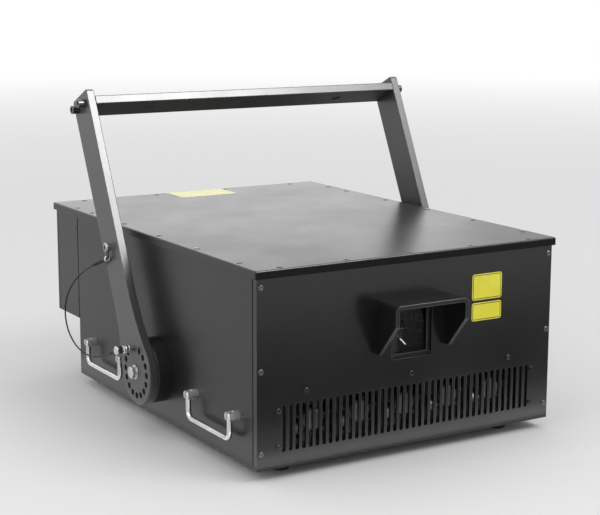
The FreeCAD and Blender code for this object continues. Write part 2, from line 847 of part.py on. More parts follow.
# Hood: a bent shroud over the beam opening with raked cheeks
body = new_body("aperture_hood", y="front_y", z="hood_top_z")
cheek = sketch_on(body, "YZ", "cheek")
polygon(
    cheek,
    [
        ("0", "0"),
        ("0 - hood_depth", "0"),
        ("0 - hood_depth", "0 - hood_brow"),
        ("0 - hood_heel", "0 - hood_drop"),
        ("0", "0 - hood_drop"),
    ],
)
pad(body, cheek, "hood_width", both=True)
hollow = sketch_on(body, "XZ", "hood_hollow")
rectangle(
    hollow,
    "hood_wall - hood_width / 2",
    "0 - hood_drop - overrun",
    "hood_width / 2 - hood_wall",
    "0 - hood_wall",
)
inside = pocket(body, hollow, name="hood_inside")
outside = round_edges(
    body,
    inside,
    "hood_bend",
    lambda edge: along(edge, "Y") and abs(edge.CenterOfMass.z) < 0.01,
    "hood_corner",
)
round_edges(
    body,
    outside,
    "hood_inner_bend",
    lambda edge: along(edge, "Y") and level(-edge.CenterOfMass.z, "hood_wall"),
    "hood_inner_corner",
)

# Fan tray: a hat shaped tray behind the vent slots, with one opening per fan
body = new_body("fan_bracket", y="front_y + front_sheet", z="fan_z")
rim = sketch_on(body, "XZ", "tray_rim")
rectangle(rim, "0 - tray_rim_half", "0 - tray_half_height", "tray_rim_half", "tray_half_height + tray_rim_top")
pad(body, rim, "tray_sheet", "tray_rim_pad", back=True)
hat = sketch_on(body, "XZ", "tray_hat")
rectangle(hat, "0 - tray_half", "0 - tray_half_height", "tray_half", "tray_half_height")
pad(body, hat, "tray_rise + tray_sheet", "tray_hat_pad", back=True)
hollow = sketch_on(body, "XZ", "tray_hollow", "0 - tray_rise")
rectangle(
    hollow,
    "tray_wall - tray_half",
    "tray_wall - tray_half_height",
    "tray_half - tray_wall",
    "tray_half_height - tray_wall",
)
pocket(body, hollow, "tray_rise + tray_sheet", "tray_inside", back=True)
hole = sketch_on(body, "XZ", "fan_hole")
circle(hole, "0 - fan_size * %g" % ((fan_count - 1) / 2), "0", "fan_bore_radius")
hole_cut = pocket(body, hole, name="fan_cut")
row_of(body, hole_cut, hole, "fan_size", fan_count, "fan_holes")

tray_spots = [("%d * tray_screw_top_pitch" % step, "tray_half_height + tray_screw_top_rise") for step in (-1, 0, 1)]
for side in (-1, 1):
    for end in (-1, 1):
        tray_spots.append(("%d * tray_screw_side" % side, "%d * tray_screw_row_pitch / 2" % end))
for number, (across, up) in enumerate(tray_spots):
    heads.append(
        cylinder(
            "tray_screw_%d" % number,
            "bezel_screw_radius",
            "bezel_screw_head",
            across,
            "front_y",
            "fan_z + " + up,
            face_front,
        )
    )
group("bracket_screws", heads)


# Fans: square frames with a strutted bearing at the back, and bladed rotors that face the slots
def fan_frame(number, across):
    body = doc.addObject("PartDesign::Body", "fan_frame_%d" % number)
    put(body, across, "fan_face_y", "fan_z")
    outline = sketch_on(body, "XZ", "frame_outline_%d" % number)
    rectangle(outline, "0 - fan_half", "0 - fan_half", "fan_half", "fan_half")
    circle(outline, "0", "0", "fan_bore_radius")
    pad(body, outline, "fan_depth", back=True)
    bearing = sketch_on(body, "XZ", "frame_bearing_%d" % number, "0 - fan_depth")
    circle(bearing, "0", "0", "rotor_hub_radius")
    pad(body, bearing, "fan_strut_depth", "bearing_pad")
    struts = sketch_on(body, "XZ", "frame_struts_%d" % number, "0 - fan_depth")
    rectangle(struts, "0 - fan_half", "0 - fan_strut / 2", "fan_half", "fan_strut / 2")
    pad(body, struts, "fan_strut_depth", "strut_pad")
    posts = sketch_on(body, "XZ", "frame_posts_%d" % number, "0 - fan_depth")
    rectangle(posts, "0 - fan_strut / 2", "0 - fan_half", "fan_strut / 2", "fan_half")
    pad(body, posts, "fan_strut_depth", "post_pad")
    bore = sketch_on(body, "XZ", "frame_bore_%d" % number)
    circle(bore, "0", "0", "rotor_shaft_radius + shaft_clearance")
    drilled = pocket(body, bore, name="bearing_bore")
    body.Tip = drilled
    round_edges(
        body,
        drilled,
        "fan_corner",
        lambda edge: along(edge, "Y") and level(abs(edge.CenterOfMass.x), "fan_half")
        and level(abs(edge.CenterOfMass.z), "fan_half"),
        "frame_corner",
    )
    return body


def fan_rotor(number, across):
    """Hub and blades are built upright and laid along Y, with the nose to the front."""
    body = new_body("fan_rotor_%d" % number, across, "fan_face_y + rotor_axial_gap", "fan_z", (V(-1, 0, 0), "90"))
    rim = sketch_on(body, "XY", "hub_outline_%d" % number)
    circle(rim, "0", "0", "rotor_hub_radius")
    hub = pad(body, rim, "rotor_hub_length", "hub")
    nose = round_edges(
        body,
        hub,
        "rotor_hub_bend",
        lambda edge: abs(edge.BoundBox.ZMax) < 0.01 and len(edge.Vertexes) == 1,
        "hub_nose",
    )
    shaft = sketch_on(body, "XY", "shaft_outline_%d" % number)
    circle(shaft, "0", "0", "rotor_shaft_radius")
    pad(body, shaft, "fan_depth - rotor_axial_gap", "shaft")
    sections = []
    for place, lift_share, slant_share in (("blade_root", 0.38, 0.30), ("blade_reach", 0.26, 0.42)):
        section = sketch_on(body, "YZ", "blade_%s_%d" % (place, number), place)
        rise = "blade_chord * %g" % lift_share
        swing = "blade_chord * %g" % slant_share
        thick = "blade_thickness / 2"
        middle = "rotor_hub_length / 2"
        polygon(
            section,
            [
                ("0 - %s - %s" % (swing, thick), "%s - %s" % (middle, rise)),
                ("0 - %s + %s" % (swing, thick), "%s - %s" % (middle, rise)),
                ("%s + %s" % (swing, thick), "%s + %s" % (middle, rise)),
                ("%s - %s" % (swing, thick), "%s + %s" % (middle, rise)),
            ],
        )
        sections.append(section)
    blade = body.newObject("PartDesign::AdditiveLoft", "blade")
    blade.Profile = sections[0]
    blade.Sections = sections[1:]
    blade.Ruled = True
    ring_of(body, blade, "Z", blade_count, "blades")


frames = []
for number in range(1, fan_count + 1):
    across = "fan_size * %g" % (number - (fan_count + 1) / 2)
    frames.append(fan_frame(number, across))
    fan_rotor(number, across)
group("fan_frames", frames)


# Yoke: two flat bar arms that flare into index discs, and a crossbar between them
def arm_outline(body, label):
    """Straight bar edges run through long flares into the round disc."""
    sketch = sketch_on(body, "YZ", label + "_outline")
    half = size("arm_width") / 2
    top = size("arm_length")
    disc = size("disc_radius")
    flare = size("flare_radius")
    start = math.sqrt((disc + flare) ** 2 - (half + flare) ** 2)
    tilt = math.atan2(start, half + flare)
    turn = math.pi
    right = Part.Circle(V(half + flare, start), V(0, 0, 1), flare)
    middle = Part.Circle(V(0, 0), V(0, 0, 1), disc)
    left = Part.Circle(V(-half - flare, start), V(0, 0, 1), flare)
    for piece in (
        Part.LineSegment(V(-half, top), V(half, top)),
        Part.LineSegment(V(half, top), V(half, start)),
        Part.ArcOfCircle(right, turn, turn + tilt),
        Part.ArcOfCircle(middle, turn - tilt, 2 * turn + tilt),
        Part.ArcOfCircle(left, 2 * turn - tilt, 2 * turn),
        Part.LineSegment(V(-half, start), V(-half, top)),
    ):
        sketch.addGeometry(piece, False)
    for ends in ((0, 1, 5, 2), (0, 2, 1, 1)):
        sketch.addConstraint(Sketcher.Constraint("Coincident", *ends))
    for ends in ((1, 2, 2, 1), (2, 2, 3, 2), (3, 1, 4, 1), (4, 2, 5, 1)):
        sketch.addConstraint(Sketcher.Constraint("Tangent", *ends))
    sketch.addConstraint(Sketcher.Constraint("Coincident", 3, 3, -1, 1))
    sketch.addConstraint(Sketcher.Constraint("Horizontal", 0))
    sketch.addConstraint(Sketcher.Constraint("Vertical", 1))
    sketch.addConstraint(Sketcher.Constraint("Vertical", 5))
    sketch.addConstraint(Sketcher.Constraint("Equal", 2, 4))
    for kind, ends, text in (
        ("Radius", (3,), "disc_radius"),
        ("Radius", (2,), "flare_radius"),
        ("DistanceX", (-1, 1, 0, 2), "arm_width / 2"),
        ("DistanceX", (0, 1, 0, 2), "arm_width"),
        ("DistanceY", (-1, 1, 0, 2), "arm_length"),
    ):
        fix(sketch, kind, ends, text)
    return sketch


for label, side, inner in (("left_arm", -1, "0 - arm_outer"), ("right_arm", 1, "arm_inner")):
    body = new_body(label, inner, "pivot_y", "pivot_z", lean_back)
    bar = pad(body, arm_outline(body, label), "arm_thickness")
    corners = break_edges(
        body,
        bar,
        "arm_corner",
        lambda edge: along(edge, "X") and level(edge.CenterOfMass.z, "arm_length"),
        label + "_corners",
    )
    break_edges(
        body,
        corners,
        "arm_chamfer",
        lambda edge: edge.BoundBox.XLength < size("arm_chamfer"),
        label + "_chamfer",
    )
    bore = sketch_on(body, "YZ", label + "_bore")
    circle(bore, "0", "0", "bolt_radius + bolt_clearance")
    for end in (-1, 1):
        circle(bore, "%d * yoke_screw_pitch / 2" % end, "bar_level", "yoke_screw_radius + fit_gap")
    if side < 0:
        circle(bore, "0", "tether_screw_level", "tether_shank_radius + fit_gap")
    pocket(body, bore, name="bores")
    index = sketch_on(body, "YZ", label + "_index")
    circle(index, "0", "index_ring_radius", "index_hole_radius")
    index_cut = pocket(body, index, name="index_cut")
    ring_of(body, index_cut, "X", index_count, "index_ring")

body = new_body("crossbar", "0", "pivot_y", "pivot_z", lean_back)
section = sketch_on(body, "YZ", "bar_section")
rectangle(
    section,
    "0 - arm_width / 2",
    "bar_level - bar_thickness / 2",
    "arm_width / 2",
    "bar_level + bar_thickness / 2",
)
bar = pad(body, section, "2 * arm_inner", both=True)
break_edges(body, bar, "arm_chamfer", lambda edge: along(edge, "X"), "bar_chamfer")
clamps = sketch_on(body, "XY", "clamp_holes")
for step in (-1, 0, 1):
    circle(clamps, "%d * clamp_pitch" % step, "0", "clamp_radius")
pocket(body, clamps, name="clamp_cut")
taps = sketch_on(body, "YZ", "screw_holes", "0 - arm_inner")
for end in (-1, 1):
    circle(taps, "%d * yoke_screw_pitch / 2" % end, "bar_level", "yoke_screw_radius + fit_gap")
pocket(body, taps, "yoke_screw_length", "left_taps", back=True)
taps = sketch_on(body, "YZ", "right_screw_holes", "arm_inner")
for end in (-1, 1):
    circle(taps, "%d * yoke_screw_pitch / 2" % end, "bar_level", "yoke_screw_radius + fit_gap")
pocket(body, taps, "yoke_screw_length", "right_taps")

# Cap screws that hold the crossbar between the arms
screws = []
for side in (-1, 1):
    for end in (-1, 1):
        name = "yoke_screw_%d_%d" % (side + 1, end + 1)
        body = doc.addObject("PartDesign::Body", name)
        put(body, "0", "pivot_y", "pivot_z", lean_back)
        across = "%d * yoke_screw_pitch / 2" % end
        head = sketch_on(body, "YZ", name + "_head", "%d * arm_outer" % side)
        circle(head, across, "bar_level", "yoke_head_radius")
        pad(body, head, "yoke_head", "head", back=side < 0)
        shank = sketch_on(body, "YZ", name + "_shank", "%d * arm_outer" % side)
        circle(shank, across, "bar_level", "yoke_screw_radius")
        pad(body, shank, "yoke_screw_length", "shank", back=side > 0)
        drive = sketch_on(body, "YZ", name + "_socket", "%d * (arm_outer + yoke_head)" % side)
        circle(drive, across, "bar_level", "yoke_socket")
        pocket(body, drive, "yoke_socket_depth", "socket", back=side < 0)
        screws.append(body)
group("crossbar_screws", screws)

# Pivot hubs on the box sides, with a ring of blind index holes, and the pivot bolts
for label, side in (("left_pivot_hub", -1), ("right_pivot_hub", 1)):
    body = new_body(label, "%d * body_half" % side, "pivot_y", "pivot_z", lean_back)
    rim = sketch_on(body, "YZ", label + "_rim")
    circle(rim, "0", "0", "disc_radius")
    circle(rim, "0", "0", "bolt_radius + fit_gap")
    drum = pad(body, rim, "hub_length", "drum", back=side < 0)
    break_edges(
        body,
        drum,
        "hub_bend",
        lambda edge: edge.BoundBox.YLength > size("disc_radius") and level(abs(edge.CenterOfMass.x), "hub_length"),
        label + "_rim_chamfer",
    )
    index = sketch_on(body, "YZ", label + "_index", "%d * hub_length" % side)
    circle(index, "0", "index_ring_radius", "index_hole_radius + index_clearance")
    index_cut = pocket(body, index, "index_depth", "index_cut", back=side < 0)
    ring_of(body, index_cut, "X", index_count, "index_ring")

bolts = []
washers = []
for side in (-1, 1):
    name = "pivot_bolt_%d" % (side + 1)
    body = doc.addObject("PartDesign::Body", name)
    put(body, "%d * body_half" % side, "pivot_y", "pivot_z")
    head_start = "%d * (hub_length + 2 * arm_gap + arm_thickness + washer_sheet)" % side
    head = sketch_on(body, "YZ", name + "_hex", head_start)
    hex_side = "bolt_hex_flat / 2 / cos(30deg)"
    polygon(head, [(hex_side + " * cos(%ddeg)" % turn, hex_side + " * sin(%ddeg)" % turn) for turn in range(0, 360, 60)])
    pad(body, head, "bolt_head", "hex_head", back=side < 0)
    shank = sketch_on(body, "YZ", name + "_shank", head_start)
    circle(shank, "0", "0", "bolt_radius")
    pad(body, shank, "hub_length + 2 * arm_gap + arm_thickness + washer_sheet", "shank", back=side > 0)
    bolts.append(body)
    name = "pivot_washer_%d" % (side + 1)
    body = doc.addObject("PartDesign::Body", name)
    put(body, "%d * (arm_outer + arm_gap)" % side, "pivot_y", "pivot_z")
    disc = sketch_on(body, "YZ", name + "_disc")
    circle(disc, "0", "0", "washer_radius")
    circle(disc, "0", "0", "bolt_radius + fit_gap")
    pad(body, disc, "washer_sheet", "washer", back=side < 0)
    washers.append(body)
group("pivot_bolts", bolts)
group("pivot_washers", washers)

# Lock pin: a turned pin with a knurled collar, a neck for the tether and a pull disc
body = new_body("lock_pin", "0 - arm_outer", "pin_y", "pin_z")
profile = sketch_on(body, "XZ", "pin_profile")
polygon(
    profile,
    [
        ("arm_thickness - pin_backset", "0"),
        ("arm_thickness - pin_backset", "pin_radius"),
        ("0 - pin_stand", "pin_radius"),
        ("0 - pin_stand", "collar_radius"),
        ("0 - pin_stand - collar_length", "collar_radius"),
        ("0 - pin_stand - collar_length", "neck_radius"),
        ("0 - pin_stand - collar_length - neck_length", "neck_radius"),
        ("0 - pin_stand - collar_length - neck_length", "pull_radius"),
        ("0 - pin_stand - collar_length - neck_length - pull_length", "pull_radius"),
        ("0 - pin_stand - collar_length - neck_length - pull_length", "0"),
    ],
)
turned = body.newObject("PartDesign::Revolution", "turned")
turned.Profile = profile
turned.ReferenceAxis = (profile, ["H_Axis"])
turned.Angle = 360

# Tether: screw, link and ring on the arm, sleeve, wire rope, sleeve and eye on the pin
body = new_body("tether_screw", "0 - arm_outer", "hang_y", "hang_z")
shank = sketch_on(body, "YZ", "tether_shank")
circle(shank, "0", "0", "tether_shank_radius")
pad(body, shank, "arm_thickness", "shank")
neck = sketch_on(body, "YZ", "tether_neck")
circle(neck, "0", "0", "tether_shank_radius")
pad(body, neck, "link_stand + link_sheet", "neck", back=True)
spacer = sketch_on(body, "YZ", "tether_spacer")
circle(spacer, "0", "0", "link_spacer_radius")
pad(body, spacer, "link_stand", "spacer", back=True)
head = sketch_on(body, "YZ", "tether_head", "0 - link_stand - link_sheet")
circle(head, "0", "0", "tether_screw_radius")
pad(body, head, "tether_screw_head", "head", back=True)
drive = sketch_on(body, "YZ", "tether_drive", "0 - link_stand - link_sheet - tether_screw_head")
circle(drive, "0", "0", "tether_socket")
pocket(body, drive, "tether_socket", "socket", back=True)

body = new_body("tether_link", "0 - arm_outer", "hang_y", "hang_z")
tab = sketch_on(body, "YZ", "link_tab", "0 - link_stand")
rectangle(tab, "0 - link_width / 2", "0 - link_drop - link_width / 2", "link_width / 2", "link_width / 2")
circle(tab, "0", "0", "tether_shank_radius + fit_gap")
pad(body, tab, "link_sheet", "tab", back=True)
drop = sketch_on(body, "YZ", "link_hole")
circle(drop, "0", "0 - link_drop", "link_hole_radius")
pocket(body, drop, name="link_cut")

# The wire rope's points, chosen by hand from its arc behind the arm
tether_route = [
    V(-231.6, 71.4, 186.9),
    V(-233.24, 90.93, 179.36),
    V(-235.0, 114.5, 168.0),
    V(-238.5, 134.5, 152.5),
    V(-242.2, 148.5, 131.5),
    V(-244.8, 148.5, 109.0),
    V(-246.0, 134.0, 89.0),
    V(-246.3, 108.5, 76.5),
    V(-246.0, 77.0, 73.2),
    V(-245.2, 47.5, 77.8),
    V(-244.1, 23.13, 86.51),
    V(-244.1, 4.6, 93.2),
]


def rope_wire(points):
    """Straight runs joined by tangent arcs, each as large as its two runs allow."""
    edges = []
    radii = []
    here = points[0]
    for before, corner, after in zip(points, points[1:], points[2:]):
        back_run = before - corner
        next_run = after - corner
        shorter = min(back_run.Length, next_run.Length)
        turn = math.pi - back_run.getAngle(next_run)
        setback = 0.45 * shorter
        radius = setback / math.tan(turn / 2)
        radii.append(radius)
        back_run.normalize()
        next_run.normalize()
        start = corner + back_run * setback
        end = corner + next_run * setback
        inward = (back_run + next_run).normalize()
        middle = corner + inward * (radius / math.cos(turn / 2) - radius)
        edges.append(Part.LineSegment(here, start).toShape())
        edges.append(Part.Arc(start, middle, end).toShape())
        here = end
    edges.append(Part.LineSegment(here, points[-1]).toShape())
    return Part.Wire(edges), radii


def rope_tube(points, radius):
    wire, radii = rope_wire(points)
    start = points[1] - points[0]
    ring = Part.Wire([Part.Circle(points[0], start, radius).toShape()])
    tube = wire.makePipeShell([ring], True, False)
    ideal = math.pi * radius * radius * wire.Length
    print("tether length %.1f, least radius %.1f, volume %.4f of section times length"
          % (wire.Length, min(radii), tube.Volume / ideal))
    return tube


tether = doc.addObject("Part::Feature", "tether")
tether.Label = "tether"
tether.Shape = rope_tube(tether_route, size("tether_radius"))
tether.Placement = FreeCAD.Placement()
parts.append(tether)


def cable_end(label, eye, centre, rope_end, ring_reach):
    """Join a ring or eye to the sleeve that grips the rope, with the rope's end square on the sleeve."""
    toward = rope_end - centre
    toward.normalize()
    start = centre + toward * ring_reach
    sleeve = Part.makeCylinder(size("sleeve_radius"), (rope_end - start).Length, start, toward)
    thing = doc.addObject("Part::Feature", label)
    thing.Label = label
    thing.Shape = eye.fuse(sleeve).removeSplitter()
    thing.Placement = FreeCAD.Placement()
    parts.append(thing)


link_point = V(size("link_x") + size("link_sheet") / 2, size("hang_y"), size("hang_z") - size("link_drop"))
ring_centre = link_point + V(0, 0, -size("ring_radius"))
ring = Part.makeTorus(size("ring_radius"), size("ring_wire"), ring_centre, V(0, 1, 0))
cable_end("tether_upper_eye", ring, ring_centre, tether_route[0], size("ring_radius"))

eye_centre = V(size("eye_x"), size("pin_y"), size("pin_z"))
eye = Part.makeCylinder(size("eye_radius"), size("eye_sheet"), eye_centre, V(1, 0, 0))
eye_hole = Part.makeCylinder(size("neck_radius") + size("eye_clearance"), size("eye_sheet"), eye_centre, V(1, 0, 0))
eye_middle = eye_centre + V(size("eye_sheet") / 2, 0, 0)
cable_end(
    "tether_lower_eye",
    eye.cut(eye_hole),
    eye_middle,
    tether_route[-1],
    size("eye_radius") - size("eye_wall") / 2,
)

# Side handles: slotted posts with cross pins, and drop bails whose legs hang in the slots
posts = []
for side in (-1, 1):
    for setback in ("front_post_setback", "rear_post_setback"):
        for end in (0, 1):
            name = "post_%d_%s_%d" % (side + 1, setback[:5], end)
            body = doc.addObject("PartDesign::Body", name)
            put(body, "%d * body_half" % side, "front_y + %s + %d * post_spacing" % (setback, end), "handle_z")
            rim = sketch_on(body, "YZ", name + "_rim")
            circle(rim, "0", "0", "post_radius")
            drum = pad(body, rim, "post_length", "drum", back=side < 0)
            round_edges(
                body,
                drum,
                "post_bend",
                lambda edge: level(abs(edge.CenterOfMass.x), "post_length"),
                name + "_nose",
            )
            slot = sketch_on(body, "XZ", name + "_slot")
            floor = "%d * (handle_axis_reach - eye_corner_reach - bail_gap)" % side
            past = "%d * (post_length + overrun)" % side
            rectangle(slot, floor, "0 - post_radius - overrun", past, "post_radius + overrun")
            cut = pocket(body, slot, name="slot_cut")
            cut.Type = "Length"
            bind(cut, Length="2 * (bail_radius + bail_gap)")
            pin = sketch_on(body, "XZ", name + "_pin")
            circle(pin, "%d * handle_axis_reach" % side, "0", "bail_pin_radius")
            pad(body, pin, "2 * bail_pin_reach", "cross_pin", both=True)
            posts.append(body)
group("handle_posts", posts)


def bail_path(sketch):
    """Leg, corner, grip, corner and leg, from eye to eye."""
    eye = size("bail_eye_reach")
    span = size("post_spacing")
    corner = size("bail_corner")
    drop = -size("bail_drop")
    turn = math.pi
    axis = V(0, 0, 1)
    for piece in (
        Part.LineSegment(V(0, eye), V(0, drop + corner)),
        Part.ArcOfCircle(Part.Circle(V(corner, drop + corner), axis, corner), turn, 1.5 * turn),
        Part.LineSegment(V(corner, drop), V(span - corner, drop)),
        Part.ArcOfCircle(Part.Circle(V(span - corner, drop + corner), axis, corner), 1.5 * turn, 2 * turn),
        Part.LineSegment(V(span, drop + corner), V(span, eye)),
    ):
        sketch.addGeometry(piece, False)
    for ends in ((0, 2, 1, 1), (1, 2, 2, 1), (2, 2, 3, 1), (3, 2, 4, 1)):
        sketch.addConstraint(Sketcher.Constraint("Tangent", *ends))
    sketch.addConstraint(Sketcher.Constraint("Horizontal", 2))
    sketch.addConstraint(Sketcher.Constraint("Vertical", 0))
    sketch.addConstraint(Sketcher.Constraint("Vertical", 4))
    for kind, ends, text in (
        ("DistanceX", (-1, 1, 0, 1), "0"),
        ("DistanceY", (-1, 1, 0, 1), "bail_eye_reach"),
        ("DistanceX", (-1, 1, 4, 2), "post_spacing"),
        ("DistanceY", (-1, 1, 4, 2), "bail_eye_reach"),
        ("DistanceY", (2, 1, -1, 1), "bail_drop"),
        ("Radius", (1,), "bail_corner"),
        ("Radius", (3,), "bail_corner"),
    ):
        fix(sketch, kind, ends, text)


for word, setback in (("front", "front_post_setback"), ("rear", "rear_post_setback")):
    for hand, side in (("left", -1), ("right", 1)):
        label = "%s_%s_bail" % (word, hand)
        body = new_body(label, "%d * handle_x" % side, "front_y + " + setback, "handle_z")
        path = sketch_on(body, "YZ", label + "_path")
        bail_path(path)
        section = sketch_on(body, "XY", label + "_section", "bail_eye_reach")
        circle(section, "0", "0", "bail_radius")
        doc.recompute()
        pipe = body.newObject("PartDesign::AdditivePipe", label + "_pipe")
        pipe.Profile = section
        pipe.Spine = (path, ["Edge%d" % number for number in range(1, 6)])
        round_edges(
            body,
            pipe,
            "bail_eye_bend",
            lambda edge: edge.BoundBox.ZLength < size("bail_eye_bend")
            and level(edge.CenterOfMass.z, "bail_eye_reach"),
            label + "_ends",
        )
        eye = sketch_on(body, "XZ", label + "_eye")
        circle(eye, "0", "0", "bail_pin_radius + bail_clearance")
        pocket(body, eye, name=label + "_eye_cut")

# Inner deck: pillars on the base plate and a thick plate for the optics
pillars = []
deck_rear = "deck_front_y + deck_depth"
for side in (-1, 1):
    for end in ("deck_front_y + fan_depth + pillar_end_inset", deck_rear + " - pillar_end_inset"):
        pillars.append(
            cylinder(
                "pillar_%d" % len(pillars),
                "pillar_radius",
                "pillar_height",
                "%d * (deck_half - pillar_side_inset)" % side,
                end,
                "floor_z",
            )
        )
group("deck_pillars", pillars)

body = new_body("optical_deck", y="deck_front_y", z="deck_z")
outline = sketch_on(body, "XY", "deck_outline")
rectangle(outline, "0 - deck_half", "0", "deck_half", "deck_depth")
pad(body, outline, "deck_sheet")

# Scanner: one block holds both galvo motors, the upper one along X and the lower one along Y
body = new_body("galvo_block", y="galvo_y", z="deck_top_z")
tower = sketch_on(body, "XY", "galvo_towers")
near = "0 - mirror_length / 2 - mirror_gap"
far_side = near + " - galvo_grip"
behind = "mirror_length / 2 + mirror_gap"
upper_height = "y_axis_rise + galvo_block_half"
rectangle(tower, far_side, "0 - galvo_block_half", near, "galvo_block_half")
pad(body, tower, upper_height, "upper_tower")
tower = sketch_on(body, "XY", "lower_tower_outline")
rectangle(tower, far_side, behind, "galvo_block_half", behind + " + galvo_grip")
pad(body, tower, "x_axis_rise + galvo_block_half", "lower_tower")
bore = sketch_on(body, "YZ", "upper_bore")
circle(bore, "0", "y_axis_rise", "galvo_radius + fit_gap")
pocket(body, bore, name="upper_bore_cut")
bore = sketch_on(body, "XZ", "lower_bore")
circle(bore, "0", "x_axis_rise", "galvo_radius + fit_gap")
pocket(body, bore, "galvo_grip * 4", "lower_bore_cut")

body = new_body("y_galvo", near, "galvo_y", "y_axis_z")
can = sketch_on(body, "YZ", "y_can")
circle(can, "0", "0", "galvo_radius")
circle(can, "0", "0", "galvo_shaft_radius + shaft_clearance")
pad(body, can, "galvo_length", "can", back=True)

body = new_body("x_galvo", "0", "galvo_y + " + behind, "x_axis_z")
can = sketch_on(body, "XZ", "x_can")
circle(can, "0", "0", "galvo_radius")
circle(can, "0", "0", "galvo_shaft_radius + shaft_clearance")
pad(body, can, "galvo_length", "can", back=True)


def scan_mirror(label, plane, tilt_turn, y, z, back):
    """A shaft, a clamp and a thin mirror that turn together."""
    body = new_body(label, "0", y, z, tilt_turn)
    shaft = sketch_on(body, plane, label + "_shaft", "mirror_length / 2 * %d" % (1 if not back else -1))
    circle(shaft, "0", "0", "galvo_shaft_radius")
    pad(body, shaft, "mirror_gap + galvo_length * %g" % shaft_share, "shaft", back=back)
    clamp = sketch_on(body, plane, label + "_clamp", "mirror_length / 4 * %d" % (1 if not back else -1))
    circle(clamp, "0", "0", "mirror_clamp_radius")
    pad(body, clamp, "mirror_length / 4", "clamp", back=back)
    blade = sketch_on(body, plane, label + "_blade")
    rectangle(blade, "0 - mirror_width / 2", "0 - mirror_sheet / 2", "mirror_width / 2", "mirror_sheet / 2")
    pad(body, blade, "mirror_length", "blade", both=True)


scan_mirror("y_mirror", "YZ", (V(1, 0, 0), "mirror_angle"), "galvo_y", "y_axis_z", True)
scan_mirror("x_mirror", "XZ", (V(0, 1, 0), "mirror_angle"), "galvo_y", "x_axis_z", True)

# Laser sources: three finned modules whose beams leave forwards
for label, step in (("red_laser", 0), ("green_laser", 1), ("blue_laser", 2)):
    across = "laser_first + %d * laser_pitch" % step
    body = new_body(label, across, "galvo_y + laser_setback", "deck_top_z")
    outline = sketch_on(body, "XY", label + "_outline")
    rectangle(outline, "0 - laser_width / 2", "0", "laser_width / 2", "laser_length")
    pad(body, outline, "laser_height", "case")
    nozzle = sketch_on(body, "XZ", label + "_nozzle")
    circle(nozzle, "0", "x_axis_rise", "nozzle_radius")
    pad(body, nozzle, "nozzle_length", "nozzle")
    groove = sketch_on(body, "XZ", label + "_groove")
    rectangle(
        groove,
        "fin_groove / 2 - laser_width / 2 + fin_groove / 2",
        "laser_height - fin_depth",
        "fin_groove * 2 - laser_width / 2",
        "laser_height + overrun",
    )
    groove_cut = pocket(body, groove, "laser_length * 2", "groove_cut")
    row_of(body, groove_cut, groove, "fin_pitch", 4, "fins")

# Beam combiner: three small mirror stands in a row that send the beams to the scanner
stands = []
for step in range(3):
    name = "combiner_%d" % step
    body = doc.addObject("PartDesign::Body", name)
    put(body, "laser_first + %d * laser_pitch" % step, "galvo_y", "deck_top_z")
    foot = sketch_on(body, "XY", name + "_foot")
    rectangle(foot, "0 - combiner_base / 2", "0 - combiner_base / 2", "combiner_base / 2", "combiner_base / 2")
    pad(body, foot, "combiner_sheet", "foot")
    plate = sketch_on(body, "XY", name + "_plate")
    lean = "combiner_base / 2 - combiner_thickness / 2"
    polygon(
        plate,
        [
            ("0 - combiner_base / 2", "0 - (%s)" % lean),
            ("0 - (%s)" % lean, "0 - combiner_base / 2"),
            ("combiner_base / 2", lean),
            (lean, "combiner_base / 2"),
        ],
    )
    pad(body, plate, "x_axis_rise + combiner_base / 2", "mirror_plate")
    stands.append(body)
group("beam_combiner", stands)

# Power supply and control board on the base plate
body = new_body("power_supply", "supply_x", "front_y + supply_setback", "floor_z")
outline = sketch_on(body, "XY", "supply_outline")
rectangle(outline, "0 - supply_width / 2", "0", "supply_width / 2", "supply_depth")
pad(body, outline, "supply_height", "case")
vent = sketch_on(body, "XY", "supply_vent", "supply_height")
rectangle(
    vent,
    "supply_slot_margin / 2 - supply_width / 2",
    "supply_slot_margin",
    "supply_slot_margin / 2 - supply_width / 2 + supply_slot_width",
    "supply_depth - supply_slot_margin",
)
vent_cut = pocket(body, vent, "supply_sheet", "vent_cut")
row_of(body, vent_cut, vent, "supply_slot_pitch", 7, "vents")

body = new_body("control_board", "board_x", "front_y + supply_setback", "floor_z")
outline = sketch_on(body, "XY", "board_outline", "board_stand")
rectangle(outline, "0 - board_width / 2", "0", "board_width / 2", "board_depth")
pad(body, outline, "board_sheet", "board")
stands = sketch_on(body, "XY", "board_stands")
for across in ("board_width / 2 - board_stand_inset", "board_stand_inset - board_width / 2"):
    for depth in ("board_stand_inset", "board_depth - board_stand_inset"):
        circle(stands, across, depth, "board_stand_radius")
pad(body, stands, "board_stand + board_sheet", "stands")
chip = sketch_on(body, "XY", "board_chip", "board_stand + board_sheet")
rectangle(chip, "0 - board_chip", "board_chip", "0", "board_chip * 2")
rectangle(chip, "board_chip / 2", "board_chip * 3", "board_chip * 1.5", "board_chip * 5")
pad(body, chip, "board_chip_height", "chips")


# Rear fittings: round sockets, data plugs, mains inlet, mains switch and key switch
def round_socket(name, across):
    body = doc.addObject("PartDesign::Body", name)
    put(body, across, "seam_y", "socket_z")
    flange = sketch_on(body, "XZ", name + "_flange")
    rectangle(
        flange,
        "0 - socket_plate_width / 2",
        "0 - socket_plate_height / 2",
        "socket_plate_width / 2",
        "socket_plate_height / 2",
    )
    pad(body, flange, "socket_plate_sheet", "flange", back=True)
    barrel = sketch_on(body, "XZ", name + "_barrel")
    circle(barrel, "0", "0", "socket_radius")
    pad(body, barrel, "socket_depth", "barrel")
    well = sketch_on(body, "XZ", name + "_well", "0 - socket_plate_sheet")
    circle(well, "0", "0", "socket_well")
    pocket(body, well, "socket_well_depth", "well", back=True)
    return body


